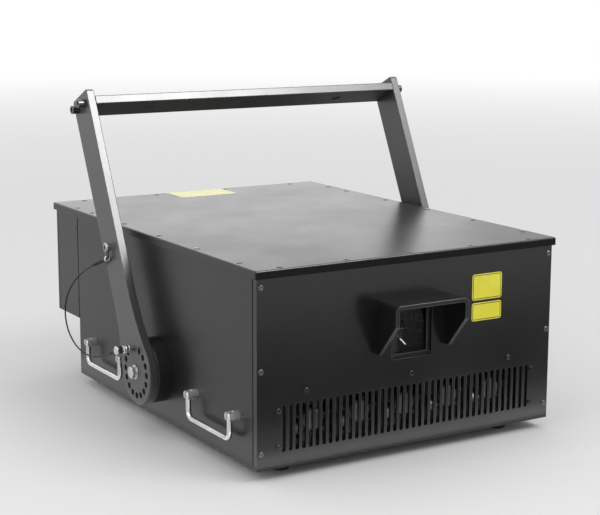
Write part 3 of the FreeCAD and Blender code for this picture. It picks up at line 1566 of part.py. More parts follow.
sockets = [round_socket("socket_%d" % -step, "%d * socket_pitch" % step) for step in socket_steps]
group("signal_sockets", sockets)
inlet = round_socket("power_inlet", inlet_x)
inlet.Label = "power_inlet"
parts.append(inlet)

plugs = []
for end in (-1, 1):
    name = "data_socket_%d" % (end + 1)
    body = doc.addObject("PartDesign::Body", name)
    put(body, data_x, "seam_y", "socket_z + %d * data_rise / 2" % end)
    flange = sketch_on(body, "XZ", name + "_flange")
    rectangle(flange, "0 - data_width / 2", "0 - data_height / 2", "data_width / 2", "data_height / 2")
    pad(body, flange, "data_sheet", "flange", back=True)
    nose = sketch_on(body, "XZ", name + "_nose")
    polygon(
        nose,
        [
            ("data_nose_height / 4 - data_nose_width / 2", "0 - data_nose_height / 2"),
            ("data_nose_width / 2 - data_nose_height / 4", "0 - data_nose_height / 2"),
            ("data_nose_width / 2", "data_nose_height / 2"),
            ("0 - data_nose_width / 2", "data_nose_height / 2"),
        ],
    )
    pad(body, nose, "data_nose", "nose", back=True)
    plugs.append(body)
group("data_sockets", plugs)

body = new_body("switch_frame", switch_x, "seam_y", "socket_z")
frame_sketch = sketch_on(body, "XZ", "switch_lip_outline")
rectangle(frame_sketch, "0 - switch_width / 2", "0 - switch_height / 2", "switch_width / 2", "switch_height / 2")
pad(body, frame_sketch, "switch_lip", "lip", back=True)
case = sketch_on(body, "XZ", "switch_case")
rectangle(
    case,
    "switch_lip - switch_width / 2",
    "switch_lip - switch_height / 2",
    "switch_width / 2 - switch_lip",
    "switch_height / 2 - switch_lip",
)
pad(body, case, "switch_depth", "case")
well = sketch_on(body, "XZ", "switch_well", "0 - switch_lip")
well_x = "switch_width / 2 - switch_lip - switch_wall"
well_z = "switch_height / 2 - switch_lip - switch_wall"
rectangle(well, "0 - (%s)" % well_x, "0 - (%s)" % well_z, well_x, well_z)
pocket(body, well, "switch_depth", "well", back=True)
pivot = sketch_on(body, "YZ", "rocker_pivot", "0 - (%s) - rocker_pin_reach" % well_x)
circle(pivot, "0", "0", "rocker_pin_radius + shaft_clearance")
pocket(body, pivot, "2 * (%s + rocker_pin_reach)" % well_x, "pivot_holes", back=True)

body = new_body("power_rocker", switch_x, "seam_y", "socket_z")
rocker = sketch_on(body, "YZ", "rocker_side")
rock_z = well_z + " - rocker_gap"
polygon(
    rocker,
    [
        ("switch_lip + rocker_rise", rock_z),
        ("switch_lip", "0"),
        ("switch_lip", "0 - (%s)" % rock_z),
        ("0 - rocker_rise", "0 - (%s) * %g" % (rock_z, rocker_tail_share)),
        ("0 - rocker_rise * 2", "0"),
        ("0 - rocker_rise", "(%s) * %g" % (rock_z, rocker_back_share)),
    ],
)
pad(body, rocker, "2 * (%s - rocker_gap)" % well_x, both=True)
pivot = sketch_on(body, "YZ", "rocker_pins")
circle(pivot, "0", "0", "rocker_pin_radius")
pad(body, pivot, "2 * (%s + rocker_pin_reach - fit_gap)" % well_x, "pins", both=True)

body = new_body("key_switch", key_x, "seam_y", "socket_z")
collar = sketch_on(body, "XZ", "key_collar")
circle(collar, "0", "0", "key_ring_radius")
pad(body, collar, "key_ring_lip", "collar", back=True)
case = sketch_on(body, "XZ", "key_case")
circle(case, "0", "0", "key_ring_radius - key_ring_lip")
pad(body, case, "key_depth", "case")
bore = sketch_on(body, "XZ", "key_bore", "0 - key_ring_lip")
circle(bore, "0", "0", "key_barrel_radius + shaft_clearance")
pocket(body, bore, "key_depth", "bore", back=True)

body = new_body("key_barrel", key_x, "seam_y", "socket_z")
barrel = sketch_on(body, "XZ", "barrel_outline", "0 - key_ring_lip")
circle(barrel, "0", "0", "key_barrel_radius")
pad(body, barrel, "key_depth - fit_gap", "barrel")
slit = sketch_on(body, "XZ", "key_slit", "0 - key_ring_lip")
rectangle(slit, "0 - key_slot_width / 2", "0 - key_slot_height / 2", "key_slot_width / 2", "key_slot_height / 2")
pocket(body, slit, "key_slot_depth", "slit", back=True)

# Check every object, then write one file per sub-part
doc.recompute()
faults = [item.Label for item in doc.Objects if "Invalid" in item.State or "Error" in item.State]
faults += [part.Label for part in parts if part.Shape.isNull() or not part.Shape.isValid()]
if faults:
    raise RuntimeError("failed objects: " + ", ".join(faults))
os.makedirs("parts", exist_ok=True)
for part in parts:
    part.Shape.exportStep("parts/%s.step" % part.Label)
print("%d sub-parts written" % len(parts))
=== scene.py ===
import bpy
import bmesh
import math
from mathutils import Matrix, Vector


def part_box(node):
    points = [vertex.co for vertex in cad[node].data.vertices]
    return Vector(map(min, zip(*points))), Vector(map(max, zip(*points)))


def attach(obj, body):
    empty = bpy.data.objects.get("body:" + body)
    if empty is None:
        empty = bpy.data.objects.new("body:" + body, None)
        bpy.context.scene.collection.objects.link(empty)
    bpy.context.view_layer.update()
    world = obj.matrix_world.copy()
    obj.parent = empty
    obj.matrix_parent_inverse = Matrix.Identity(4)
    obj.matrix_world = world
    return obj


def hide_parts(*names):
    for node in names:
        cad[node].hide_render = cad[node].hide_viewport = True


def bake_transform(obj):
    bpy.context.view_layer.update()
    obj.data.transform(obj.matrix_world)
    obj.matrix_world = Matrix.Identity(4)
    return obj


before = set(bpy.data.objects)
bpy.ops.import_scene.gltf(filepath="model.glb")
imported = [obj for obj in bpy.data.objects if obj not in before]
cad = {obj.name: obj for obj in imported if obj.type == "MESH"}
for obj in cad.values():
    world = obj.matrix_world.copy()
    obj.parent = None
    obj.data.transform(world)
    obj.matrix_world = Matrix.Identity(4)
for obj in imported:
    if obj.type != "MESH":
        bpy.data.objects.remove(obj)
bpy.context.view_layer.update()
scene = bpy.context.scene
print("projector frame in:", len(cad), "nodes")


# shader helpers, everything is in object coordinates and metres
def addNode(tree, kind, inputs=None, **settings):
    node = tree.nodes.new(kind)
    for key, value in settings.items():
        setattr(node, key, value)
    for key, value in (inputs or {}).items():
        node.inputs[key].default_value = value
    return node


def newFinish(name):
    mat = bpy.data.materials.new(name)
    mat.use_nodes = True
    tree = mat.node_tree
    coords = addNode(tree, "ShaderNodeTexCoord").outputs["Object"]
    return mat, tree, tree.nodes["Principled BSDF"], coords


def noiseAt(tree, coords, scale, detail=3.0, rough=0.55, stretch=None):
    if stretch:
        mapping = addNode(tree, "ShaderNodeMapping", {"Scale": stretch})
        tree.links.new(coords, mapping.inputs["Vector"])
        coords = mapping.outputs["Vector"]
    noise = addNode(tree, "ShaderNodeTexNoise", {"Scale": scale, "Detail": detail, "Roughness": rough})
    tree.links.new(coords, noise.inputs["Vector"])
    return noise.outputs["Fac"]


def remap(tree, value, fromLow, fromHigh, toLow, toHigh):
    limits = {"From Min": fromLow, "From Max": fromHigh, "To Min": toLow, "To Max": toHigh}
    node = addNode(tree, "ShaderNodeMapRange", limits)
    tree.links.new(value, node.inputs["Value"])
    return node.outputs["Result"]


def combine(tree, operation, first, second):
    node = addNode(tree, "ShaderNodeMath", operation=operation)
    tree.links.new(first, node.inputs[0])
    tree.links.new(second, node.inputs[1])
    return node.outputs[0]


# sockets 6 and 7 of a colour mix are its two colours, output 2 is the result
def mixColour(tree, fac, first, second):
    node = addNode(tree, "ShaderNodeMix", data_type="RGBA")
    tree.links.new(fac, node.inputs["Factor"])
    for socket, value in ((node.inputs[6], first), (node.inputs[7], second)):
        if isinstance(value, tuple):
            socket.default_value = (*value, 1)
        else:
            tree.links.new(value, socket)
    return node.outputs[2]


def grey(level, blue=0.0):
    return (level, level, level + blue)


rubbedAndLitEdge = {"samples": 6, "starts": 0.995, "full": 0.8}


# rubbed and lit edge: how far the rounded normal leaves the true one; the lighter colour laid there is partly
# wear and partly a painted edge highlight
def edgeMask(tree, radius):
    soft = addNode(tree, "ShaderNodeBevel", {"Radius": radius}, samples=rubbedAndLitEdge["samples"])
    true = addNode(tree, "ShaderNodeNewGeometry")
    dot = addNode(tree, "ShaderNodeVectorMath", operation="DOT_PRODUCT")
    tree.links.new(soft.outputs["Normal"], dot.inputs[0])
    tree.links.new(true.outputs["Normal"], dot.inputs[1])
    rubbedAndLit = remap(tree, dot.outputs["Value"], rubbedAndLitEdge["starts"], rubbedAndLitEdge["full"], 0.0, 1.0)
    return soft.outputs["Normal"], rubbedAndLit


facingTurn = (-0.82, -0.92)


# faces that look back along one axis of the piece
def facingMask(tree, axis):
    parts = addNode(tree, "ShaderNodeSeparateXYZ")
    tree.links.new(addNode(tree, "ShaderNodeTexCoord").outputs["Normal"], parts.inputs[0])
    return remap(tree, parts.outputs[axis], *facingTurn, 0.0, 1.0)


finishNoise = {"patchDetail": 4.0, "patchRough": 0.6, "patchSpan": (0.3, 0.7), "grainDetail": 2.0,
               "grainRough": 0.5, "wearAndHighlightSpan": (0.35, 0.7), "leastWearAndHighlight": 0.1}


# coated or bare metal and plastic with patchy gloss, fine grain and lighter edges, partly rubbed wear and
# partly a painted edge highlight
def surfaceFinish(name, look):
    n = finishNoise
    mat, tree, shader, coords = newFinish(name)
    patch = noiseAt(tree, coords, look["patch"], n["patchDetail"], n["patchRough"])
    grain = noiseAt(tree, coords, look["grain"], n["grainDetail"], n["grainRough"], look.get("grainStretch"))
    rounded, rubbedAndLit = edgeMask(tree, look["edge"])
    wearAndHighlight = remap(tree, patch, *n["wearAndHighlightSpan"], n["leastWearAndHighlight"], look["wearAndHighlightAmount"])
    edgeWearAndHighlight = combine(tree, "MULTIPLY", rubbedAndLit, wearAndHighlight)
    colour = mixColour(tree, remap(tree, patch, *n["patchSpan"], 0.0, 1.0), look["dark"], look["light"])
    colour = mixColour(tree, edgeWearAndHighlight, colour, look["wearAndHighlight"])
    rough = remap(tree, patch, *n["patchSpan"], *look["gloss"])
    if look.get("facing"):
        face = look["facing"]
        mask = facingMask(tree, face["axis"])
        colour = mixColour(tree, mask, colour, face["colour"])
        rough = combine(tree, "MAXIMUM", rough, remap(tree, mask, 0.0, 1.0, 0.0, face["rough"]))
        if face["metal"]:
            tree.links.new(mask, shader.inputs["Metallic"])
    tree.links.new(colour, shader.inputs["Base Color"])
    tree.links.new(rough, shader.inputs["Roughness"])
    relief = {"Strength": look["grainStrength"], "Distance": look["grainDepth"]}
    bump = addNode(tree, "ShaderNodeBump", relief)
    tree.links.new(grain, bump.inputs["Height"])
    tree.links.new(rounded, bump.inputs["Normal"])
    tree.links.new(bump.outputs["Normal"], shader.inputs["Normal"])
    shader.inputs["Metallic"].default_value = look.get("metal", 0.0)
    shader.inputs["Specular IOR Level"].default_value = look.get("shine", 0.5)
    return mat


# paint of the box, the hood and the yoke
boxLook = {
    "dark": grey(0.008, 0.0003), "light": grey(0.0125, 0.0003), "wearAndHighlight": grey(0.11), "wearAndHighlightAmount": 0.8,
    "shine": 0.42, "gloss": (0.27, 0.33), "patch": 11.0, "edge": 0.0009,
    "grain": 1300.0, "grainStrength": 0.10, "grainDepth": 0.00012}
boxPaint = surfaceFinish("boxPowderCoat", boxLook)
frontPaint = surfaceFinish("frontPanelPowderCoat", {
    **boxLook, "dark": grey(0.006, 0.0002), "light": grey(0.009, 0.0002),
    "shine": 0.52, "gloss": (0.21, 0.26)})
# the hood's pale edge colour over a wider edge is a painted highlight on its front rim
hoodPaint = surfaceFinish("hoodPowderCoat", {
    **boxLook, "dark": grey(0.0035, 0.0002), "light": grey(0.006, 0.0002), "wearAndHighlight": grey(0.16),
    "wearAndHighlightAmount": 1.0, "shine": 0.44, "gloss": (0.3, 0.38), "edge": 0.0017})
# the lid's turned down front edge takes a darker, duller metallic colour on its front-facing faces, a painted
# shade
lidPaint = surfaceFinish("lidPowderCoat", {
    **boxLook, "facing": {"axis": "Y", "colour": grey(0.016, 0.0002), "rough": 0.5, "metal": True}})
# the same paint on panels whose front-facing edge faces at the seams are near black and matt, a painted shade
# in the seams
seamPaint = surfaceFinish("seamShadedPanelPowderCoat", {
    **boxLook, "facing": {"axis": "Y", "colour": grey(0.003), "rough": 1.0, "metal": True}})
# the yoke's downward-facing faces are darker and rougher; the darker colour is a painted shade on the
# undersides
yokePaint = surfaceFinish("yokePowderCoat", {
    "facing": {"axis": "Z", "colour": grey(0.03, 0.0005), "rough": 0.8, "metal": False},
    "dark": grey(0.042, 0.0005), "light": grey(0.054, 0.0005), "wearAndHighlight": grey(0.2), "wearAndHighlightAmount": 0.8,
    "shine": 0.62, "gloss": (0.28, 0.34), "patch": 17.0, "edge": 0.0010,
    "grain": 1500.0, "grainStrength": 0.14, "grainDepth": 0.00012})
hubPaint = surfaceFinish("hubBlackAnodised", {
    "dark": grey(0.008, 0.0005), "light": grey(0.014, 0.0005), "wearAndHighlight": grey(0.08), "wearAndHighlightAmount": 0.5,
    "shine": 0.35, "gloss": (0.3, 0.4), "patch": 30.0, "edge": 0.0007,
    "grain": 900.0, "grainStretch": (8.0, 1.0, 1.0), "grainStrength": 0.16, "grainDepth": 0.0001})

# bright, dark and machined metal
brightSteel = surfaceFinish("brightPlatedSteel", {
    "dark": grey(0.55, 0.01), "light": grey(0.72, 0.01), "wearAndHighlight": grey(0.85), "wearAndHighlightAmount": 0.4,
    "metal": 1.0, "gloss": (0.08, 0.2), "patch": 60.0, "edge": 0.0005,
    "grain": 1800.0, "grainStrength": 0.06, "grainDepth": 0.00006})
screwSteel = surfaceFinish("blackScrewPlating", {
    "dark": grey(0.012, 0.0005), "light": grey(0.022, 0.0005), "wearAndHighlight": grey(0.3), "wearAndHighlightAmount": 0.5,
    "shine": 0.55, "gloss": (0.24, 0.34), "patch": 90.0, "edge": 0.0003,
    "grain": 2200.0, "grainStrength": 0.08, "grainDepth": 0.00005})
capLook = {
    "dark": grey(0.075, 0.002), "light": grey(0.125, 0.002), "wearAndHighlight": grey(0.55), "wearAndHighlightAmount": 0.9,
    "metal": 1.0, "gloss": (0.2, 0.32), "patch": 90.0, "edge": 0.0006,
    "grain": 2200.0, "grainStrength": 0.1, "grainDepth": 0.00006}
capSteel = surfaceFinish("darkCapScrewSteel", capLook)
blackenedSteel = surfaceFinish("blackenedScrewSteel", {
    **capLook, "dark": grey(0.03, 0.001), "light": grey(0.055, 0.001), "wearAndHighlight": grey(0.36),
    "gloss": (0.18, 0.26)})
plugShell = surfaceFinish("platedPlugShell", {
    "dark": grey(0.32, 0.005), "light": grey(0.45, 0.005), "wearAndHighlight": grey(0.6), "wearAndHighlightAmount": 0.4,
    "metal": 1.0, "gloss": (0.25, 0.38), "patch": 90.0, "edge": 0.0003,
    "grain": 1800.0, "grainStrength": 0.1, "grainDepth": 0.00004})
machined = surfaceFinish("machinedAluminium", {
    "dark": grey(0.46, 0.01), "light": grey(0.6, 0.01), "wearAndHighlight": grey(0.75), "wearAndHighlightAmount": 0.4,
    "metal": 1.0, "gloss": (0.28, 0.42), "patch": 24.0, "edge": 0.0006,
    "grain": 500.0, "grainStretch": (1.0, 14.0, 1.0), "grainStrength": 0.12, "grainDepth": 0.0001})
satinSteel = surfaceFinish("satinPlatedSteel", {
    "dark": grey(0.6, 0.005), "light": grey(0.74, 0.005), "wearAndHighlight": grey(0.85), "wearAndHighlightAmount": 0.4,
    "metal": 1.0, "gloss": (0.34, 0.44), "patch": 70.0, "edge": 0.0005,
    "grain": 700.0, "grainStretch": (1.0, 9.0, 9.0), "grainStrength": 0.1, "grainDepth": 0.00006})
blackAnodised = surfaceFinish("blackAnodisedDeck", {
    "dark": grey(0.010, 0.0005), "light": grey(0.016, 0.0005), "wearAndHighlight": grey(0.2), "wearAndHighlightAmount": 0.5,
    "shine": 0.4, "gloss": (0.38, 0.5), "patch": 24.0, "edge": 0.0006,
    "grain": 800.0, "grainStretch": (1.0, 12.0, 1.0), "grainStrength": 0.12, "grainDepth": 0.0001})
mirrorSilver = surfaceFinish("mirrorSilver", {
    "dark": (0.84, 0.86, 0.88), "light": (0.9, 0.91, 0.92), "wearAndHighlight": grey(0.9), "wearAndHighlightAmount": 0.2,
    "metal": 1.0, "gloss": (0.02, 0.05), "patch": 40.0, "edge": 0.0003,
    "grain": 900.0, "grainStrength": 0.01, "grainDepth": 0.00002})

# rope, plastic, rubber and board
ropeCoat = surfaceFinish("blackRopeCoating", {
    "dark": grey(0.008, 0.0005), "light": grey(0.016, 0.0005), "wearAndHighlight": grey(0.12), "wearAndHighlightAmount": 0.5,
    "shine": 0.3, "gloss": (0.4, 0.54), "patch": 160.0, "edge": 0.0002,
    "grain": 3000.0, "grainStrength": 0.1, "grainDepth": 0.00004})
ropeSleeve = surfaceFinish("shrunkSleeve", {
    "dark": grey(0.005, 0.0002), "light": grey(0.009, 0.0002), "wearAndHighlight": grey(0.05), "wearAndHighlightAmount": 0.4,
    "shine": 0.25, "gloss": (0.5, 0.65), "patch": 200.0, "edge": 0.0003,
    "grain": 2500.0, "grainStrength": 0.15, "grainDepth": 0.00005})
fanPlastic = surfaceFinish("fanPlastic", {
    "dark": grey(0.042, 0.001), "light": grey(0.06, 0.001), "wearAndHighlight": grey(0.22), "wearAndHighlightAmount": 0.9,
    "shine": 0.7, "gloss": (0.16, 0.26), "patch": 40.0, "edge": 0.0005,
    "grain": 1600.0, "grainStrength": 0.12, "grainDepth": 0.0001})
socketPlastic = surfaceFinish("socketPlastic", {
    "dark": grey(0.012), "light": grey(0.02), "wearAndHighlight": grey(0.06), "wearAndHighlightAmount": 0.3,
    "gloss": (0.42, 0.55), "patch": 60.0, "edge": 0.0004,
    "grain": 2000.0, "grainStrength": 0.12, "grainDepth": 0.00008})
footRubber = surfaceFinish("footRubber", {
    "dark": grey(0.012), "light": grey(0.022), "wearAndHighlight": grey(0.05), "wearAndHighlightAmount": 0.4,
    "gloss": (0.7, 0.85), "patch": 50.0, "edge": 0.0008,
    "grain": 1400.0, "grainStrength": 0.3, "grainDepth": 0.00015})
# near black strip finish, a painted shade for the side seams
seamShadeBlack = surfaceFinish("seamShadeBlack", {
    "dark": grey(0.002), "light": grey(0.004), "wearAndHighlight": grey(0.01), "wearAndHighlightAmount": 0.3,
    "shine": 0.1, "gloss": (0.75, 0.9), "patch": 60.0, "edge": 0.0002,
    "grain": 1600.0, "grainStrength": 0.2, "grainDepth": 0.00006})
boardMask = surfaceFinish("boardSolderMask", {
    "dark": (0.005, 0.009, 0.0065), "light": (0.01, 0.016, 0.012), "wearAndHighlight": (0.1, 0.12, 0.1),
    "wearAndHighlightAmount": 0.3, "shine": 0.4, "gloss": (0.3, 0.42), "patch": 70.0, "edge": 0.0004,
    "grain": 700.0, "grainStrength": 0.2, "grainDepth": 0.0001})

# thin films: stickers, their ink, hub discs and rocker marks
filmLook = {
    "dark": (0.76, 0.7, 0.04), "light": (0.82, 0.76, 0.055), "wearAndHighlight": (0.9, 0.8, 0.25), "wearAndHighlightAmount": 0.4,
    "gloss": (0.22, 0.3), "patch": 35.0, "edge": 0.0003,
    "grain": 900.0, "grainStrength": 0.06, "grainDepth": 0.00005}
stickerFilm = surfaceFinish("yellowStickerFilm", filmLook)
# the lid's sticker takes a darker copy of the film, a painted shade that also weakens its yellow reflection
# in the crossbar
lidFilm = surfaceFinish("shadedLidStickerFilm", {
    **filmLook, "dark": (0.54, 0.5, 0.06), "light": (0.6, 0.55, 0.08)})
stickerInk = surfaceFinish("stickerBorderInk", {
    "dark": grey(0.012), "light": grey(0.02), "wearAndHighlight": grey(0.05), "wearAndHighlightAmount": 0.2,
    "gloss": (0.35, 0.45), "patch": 60.0, "edge": 0.0002,
    "grain": 900.0, "grainStrength": 0.05, "grainDepth": 0.00005})
hubFoil = surfaceFinish("fanHubFoil", {
    "dark": grey(0.13, 0.002), "light": grey(0.18, 0.002), "wearAndHighlight": grey(0.3), "wearAndHighlightAmount": 0.4,
    "metal": 0.4, "gloss": (0.3, 0.4), "patch": 80.0, "edge": 0.0003,
    "grain": 900.0, "grainStrength": 0.08, "grainDepth": 0.00006})
rockerInk = surfaceFinish("rockerMarkInk", {
    "dark": grey(0.72), "light": grey(0.8), "wearAndHighlight": grey(0.6), "wearAndHighlightAmount": 0.3,
    "gloss": (0.4, 0.5), "patch": 90.0, "edge": 0.0001,
    "grain": 1200.0, "grainStrength": 0.05, "grainDepth": 0.00004})

windowLook = {"dull": (0.86, 0.9, 0.9), "clear": (0.95, 0.97, 0.97), "smear": (45.0, 5.0, 0.65),
              "smearSpan": (0.35, 0.75), "gloss": (0.01, 0.09), "bend": 1.2}


# the beam window: thin clear coated pane with faint smears
def windowFinish(look):
    mat, tree, shader, coords = newFinish("beamWindowGlass")
    smear = noiseAt(tree, coords, *look["smear"])
    tree.links.new(remap(tree, smear, *look["smearSpan"], *look["gloss"]), shader.inputs["Roughness"])
    tree.links.new(mixColour(tree, smear, look["dull"], look["clear"]), shader.inputs["Base Color"])
    shader.inputs["Transmission Weight"].default_value = 1.0
    shader.inputs["IOR"].default_value = look["bend"]
    return mat


windowGlass = windowFinish(windowLook)
print("finishes mixed:", len(bpy.data.materials))

fanRotors = ["fan_rotor_%d" % i for i in range(1, 6)]
finishOf = (
    (boxPaint, ["base_plate", "rear_panel", "fan_bracket"]),
    (lidPaint, ["lid"]),
    (frontPaint, ["front_panel"]),
    (hoodPaint, ["aperture_hood", "aperture_bezel"]),
    (seamPaint, ["left_side_panel", "right_side_panel", "rear_housing"]),
    (yokePaint, ["left_arm", "right_arm", "crossbar"]),
    (hubPaint, ["left_pivot_hub", "right_pivot_hub"]),
    (footRubber, ["rubber_feet"]),
    (brightSteel, ["pivot_bolts", "pivot_washers", "lock_pin", "tether_screw", "key_switch", "key_barrel",
                   "front_left_bail", "front_right_bail", "rear_left_bail", "rear_right_bail"]),
    (screwSteel, ["housing_screws", "bracket_screws", "tether_link"]),
    (capSteel, ["crossbar_screws"]),
    (ropeCoat, ["tether", "tether_upper_eye", "tether_lower_eye"]),
    (plugShell, ["data_sockets"]),
    (satinSteel, ["handle_posts"]),
    (blackAnodised, ["optical_deck", "galvo_block", "beam_combiner",
                     "red_laser", "green_laser", "blue_laser"]),
    (machined, ["deck_pillars", "x_galvo", "y_galvo", "power_supply"]),
    (fanPlastic, ["fan_frames"] + fanRotors),
    (socketPlastic, ["signal_sockets", "power_inlet", "switch_frame", "power_rocker"]),
    (boardMask, ["control_board"]),
    (mirrorSilver, ["x_mirror", "y_mirror"]),
    (windowGlass, ["aperture_window"]),
)
for mat, names in finishOf:
    for name in names:
        slots = cad[name].data.materials
        slots.clear()
        slots.append(mat)
print("finishes put on the nodes")


# mesh helpers
def meshPiece(name, bm, mat, body, smooth=True, angle=35):
    mesh = bpy.data.meshes.new(name)
    bmesh.ops.recalc_face_normals(bm, faces=bm.faces)
    bm.to_mesh(mesh)
    bm.free()
    for m in mat if isinstance(mat, list) else [mat]:
        mesh.materials.append(m)
    if smooth:
        mesh.shade_smooth()
        mesh.set_sharp_from_angle(angle=math.radians(angle))
    obj = bpy.data.objects.new(name, mesh)
    scene.collection.objects.link(obj)
    if body:
        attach(obj, body)
    return obj


# a place whose z points out of the surface
def seatAt(point, out):
    return Matrix.Translation(point) @ Vector(out).to_track_quat("Z", "Y").to_matrix().to_4x4()


# faces between rings of equal count, with end caps or closed into a loop
def skinRings(bm, rings, caps=True, loop=False):
    faces = []
    count = len(rings[0])
    for low, high in zip(rings, rings[1:] + (rings[:1] if loop else [])):
        for i in range(count):
            j = (i + 1) % count
            faces.append(bm.faces.new((low[i], low[j], high[j], high[i])))
    if caps:
        faces.append(bm.faces.new(rings[0]))
        faces.append(bm.faces.new(rings[-1]))
    return faces


# a profile of (radius, height) turned round the place's z, where a radius may follow the angle
def turnedRing(bm, profile, steps, place, caps=True, loop=False):
    rings = []
    for radius, height in profile:
        ring = []
        for i in range(steps):
            a = 2 * math.pi * i / steps
            r = radius(a) if callable(radius) else radius
            ring.append(bm.verts.new(place @ Vector((r * math.cos(a), r * math.sin(a), height))))
        rings.append(ring)
    skinRings(bm, rings, caps and not loop, loop)
    return rings


# the loose solids inside one grouped node, as (low corner, high corner)
def solidsIn(nodeName):
    mesh = cad[nodeName].data
    home = list(range(len(mesh.vertices)))

    def root(i):
        while home[i] != i:
            home[i] = home[home[i]]
            i = home[i]
        return i

    spots = {}
    for i, v in enumerate(mesh.vertices):
        key = tuple(round(c, 6) for c in v.co)
        home[i] = root(spots.setdefault(key, i))
    for edge in mesh.edges:
        a, b = (root(i) for i in edge.vertices)
        home[a] = b
    boxes = {}
    for i, v in enumerate(mesh.vertices):
        low, high = boxes.setdefault(root(i), (v.co.copy(), v.co.copy()))
        for k in range(3):
            low[k] = min(low[k], v.co[k])
            high[k] = max(high[k], v.co[k])
    return list(boxes.values())


# where a screw sits: its seat with z out of the panel, its height and its radius
def screwSeat(low, high):
    size = high - low
    k = min(range(3), key=lambda i: size[i])
    mid = (low + high) / 2
    out = Vector((0, 0, 0))
    out[k] = 1.0 if k == 2 or (k == 0 and mid.x > 0) else -1.0
    return seatAt(mid - out * size[k] / 2, out), size[k], max(size) / 2


crossScrew = {"steps": 24, "wallShare": 0.55, "brow": (0.97, 0.85), "flatShare": 0.88, "armShare": 0.56,
              "slotWidthShare": 0.15, "slotDepthShare": 0.6, "pitShare": 0.8}


# low flat head with a pressed cross
def addCrossScrew(bm, place, height, radius, turn):
    s = crossScrew
    steps = s["steps"]
    place = place @ Matrix.Rotation(turn, 4, "Z")
    browRadius, browHeight = s["brow"]
    profile = [(radius, 0.0), (radius, height * s["wallShare"]),
               (radius * browRadius, height * browHeight), (radius * s["flatShare"], height)]
    rings = turnedRing(bm, profile, steps, place, caps=False)
    bm.faces.new(rings[0])
    w = radius * s["slotWidthShare"]
    r = radius * s["armShare"]
    plus = [(r, -w), (r, w), (w, w), (w, r), (-w, r), (-w, w),
            (-r, w), (-r, -w), (-w, -w), (-w, -r), (w, -r), (w, -w)]
    pitHeight = height * (1 - s["slotDepthShare"])
    rim = [bm.verts.new(place @ Vector((x, y, height))) for x, y in plus]
    pit = [bm.verts.new(place @ Vector((x * s["pitShare"], y * s["pitShare"], pitHeight))) for x, y in plus]
    skinRings(bm, [rim, pit], caps=False)
    bm.faces.new(pit)
    # the head's flat, one face from each edge of the cross to the stretch of rim beside it
    marks = [round(math.atan2(y, x) % (2 * math.pi) / (2 * math.pi) * steps) for x, y in plus]
    for i in range(len(plus)):
        j = (i + 1) % len(plus)
        last = marks[j] if marks[j] >= marks[i] else marks[j] + steps
        bm.faces.new([rim[j], rim[i]] + [rings[-1][k % steps] for k in range(marks[i], last + 1)])


# button heads with a hex socket; the lid's stand lower, the rear housing's are smaller, the fan tray's wider
buttonDome = ((1.0, 0.0), (1.0, 0.3), (0.96, 0.6), (0.84, 0.86), (0.66, 1.0))
socketScrew = {"steps": 36, "socketShare": 0.42, "depthShare": 0.75, "lidHeightShare": 0.5, "sideShare": 0.68,
               "trayShare": 1.75, "firstTurn": 0.4, "turnStep": 1.1}


def hexRadius(flat):
    return lambda a: flat / math.cos(a % (math.pi / 3) - math.pi / 6)


def addSocketScrew(bm, place, height, radius, look):
    socket = hexRadius(radius * look["socketShare"])
    profile = [(radius * r, height * h) for r, h in buttonDome]
    profile += [(socket, height), (socket, height * (1 - look["depthShare"]))]
    turnedRing(bm, profile, look["steps"], place)


screwGroups = (("housing_screws", "housingSocketScrews", capSteel),
               ("bracket_screws", "bracketSocketScrews", blackenedSteel))
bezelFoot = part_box("aperture_bezel")[0].z
for nodeName, pieceName, mat in screwGroups:
    bm = bmesh.new()
    s = socketScrew
    for count, (low, high) in enumerate(solidsIn(nodeName)):
        place, height, radius = screwSeat(low, high)
        out = place.col[2]
        if nodeName == "bracket_screws" and high.z < bezelFoot:
            radius *= s["trayShare"]
        if round(out.x):
            height *= s["sideShare"]
            radius *= s["sideShare"]
        elif round(out.z):
            height *= s["lidHeightShare"]
        turn = Matrix.Rotation(s["firstTurn"] + s["turnStep"] * count, 4, "Z")
        addSocketScrew(bm, place @ turn, height, radius, s)
    screws = meshPiece(pieceName, bm, mat, "chassis")
    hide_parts(nodeName)
print("housing screws turned")

# pivot bolts: six sided heads with a turned crown and a washer face
hexBolt = {"crownShare": 0.955, "slope": 0.577, "face": 0.0004, "steps": 48, "head": 0.0055, "shank": 0.004,
           "shankSteps": 32}


def addHexHead(bm, place, flat, height, look):
    crown = flat * look["crownShare"]
    rows = [[], [], [], []]
    for i in range(look["steps"]):
        a = 2 * math.pi * i / look["steps"]
        r = hexRadius(flat)(a)
        drop = max(0.0, r - crown) * look["slope"]
        levels = ((crown, 0.0), (r, look["face"] + drop), (r, height - drop), (crown, height))
        for row, (radius, z) in zip(rows, levels):
            row.append(bm.verts.new(place @ Vector((radius * math.cos(a), radius * math.sin(a), z))))
    skinRings(bm, rows)


bm = bmesh.new()
for low, high in solidsIn("pivot_bolts"):
    b = hexBolt
    side = 1 if low.x > 0 else -1
    mid = (low + high) / 2
    end = high.x if side > 0 else low.x
    seat = seatAt((end - side * b["head"], mid.y, mid.z), (side, 0, 0))
    addHexHead(bm, seat, (high.z - low.z) / 2, b["head"], b)
    shankLength = high.x - low.x - b["head"]
    turnedRing(bm, [(b["shank"], 0.0), (b["shank"], -shankLength)], b["shankSteps"], seat)
bolts = meshPiece("pivotHexBolts", bm, brightSteel, "chassis", angle=20)
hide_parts("pivot_bolts")

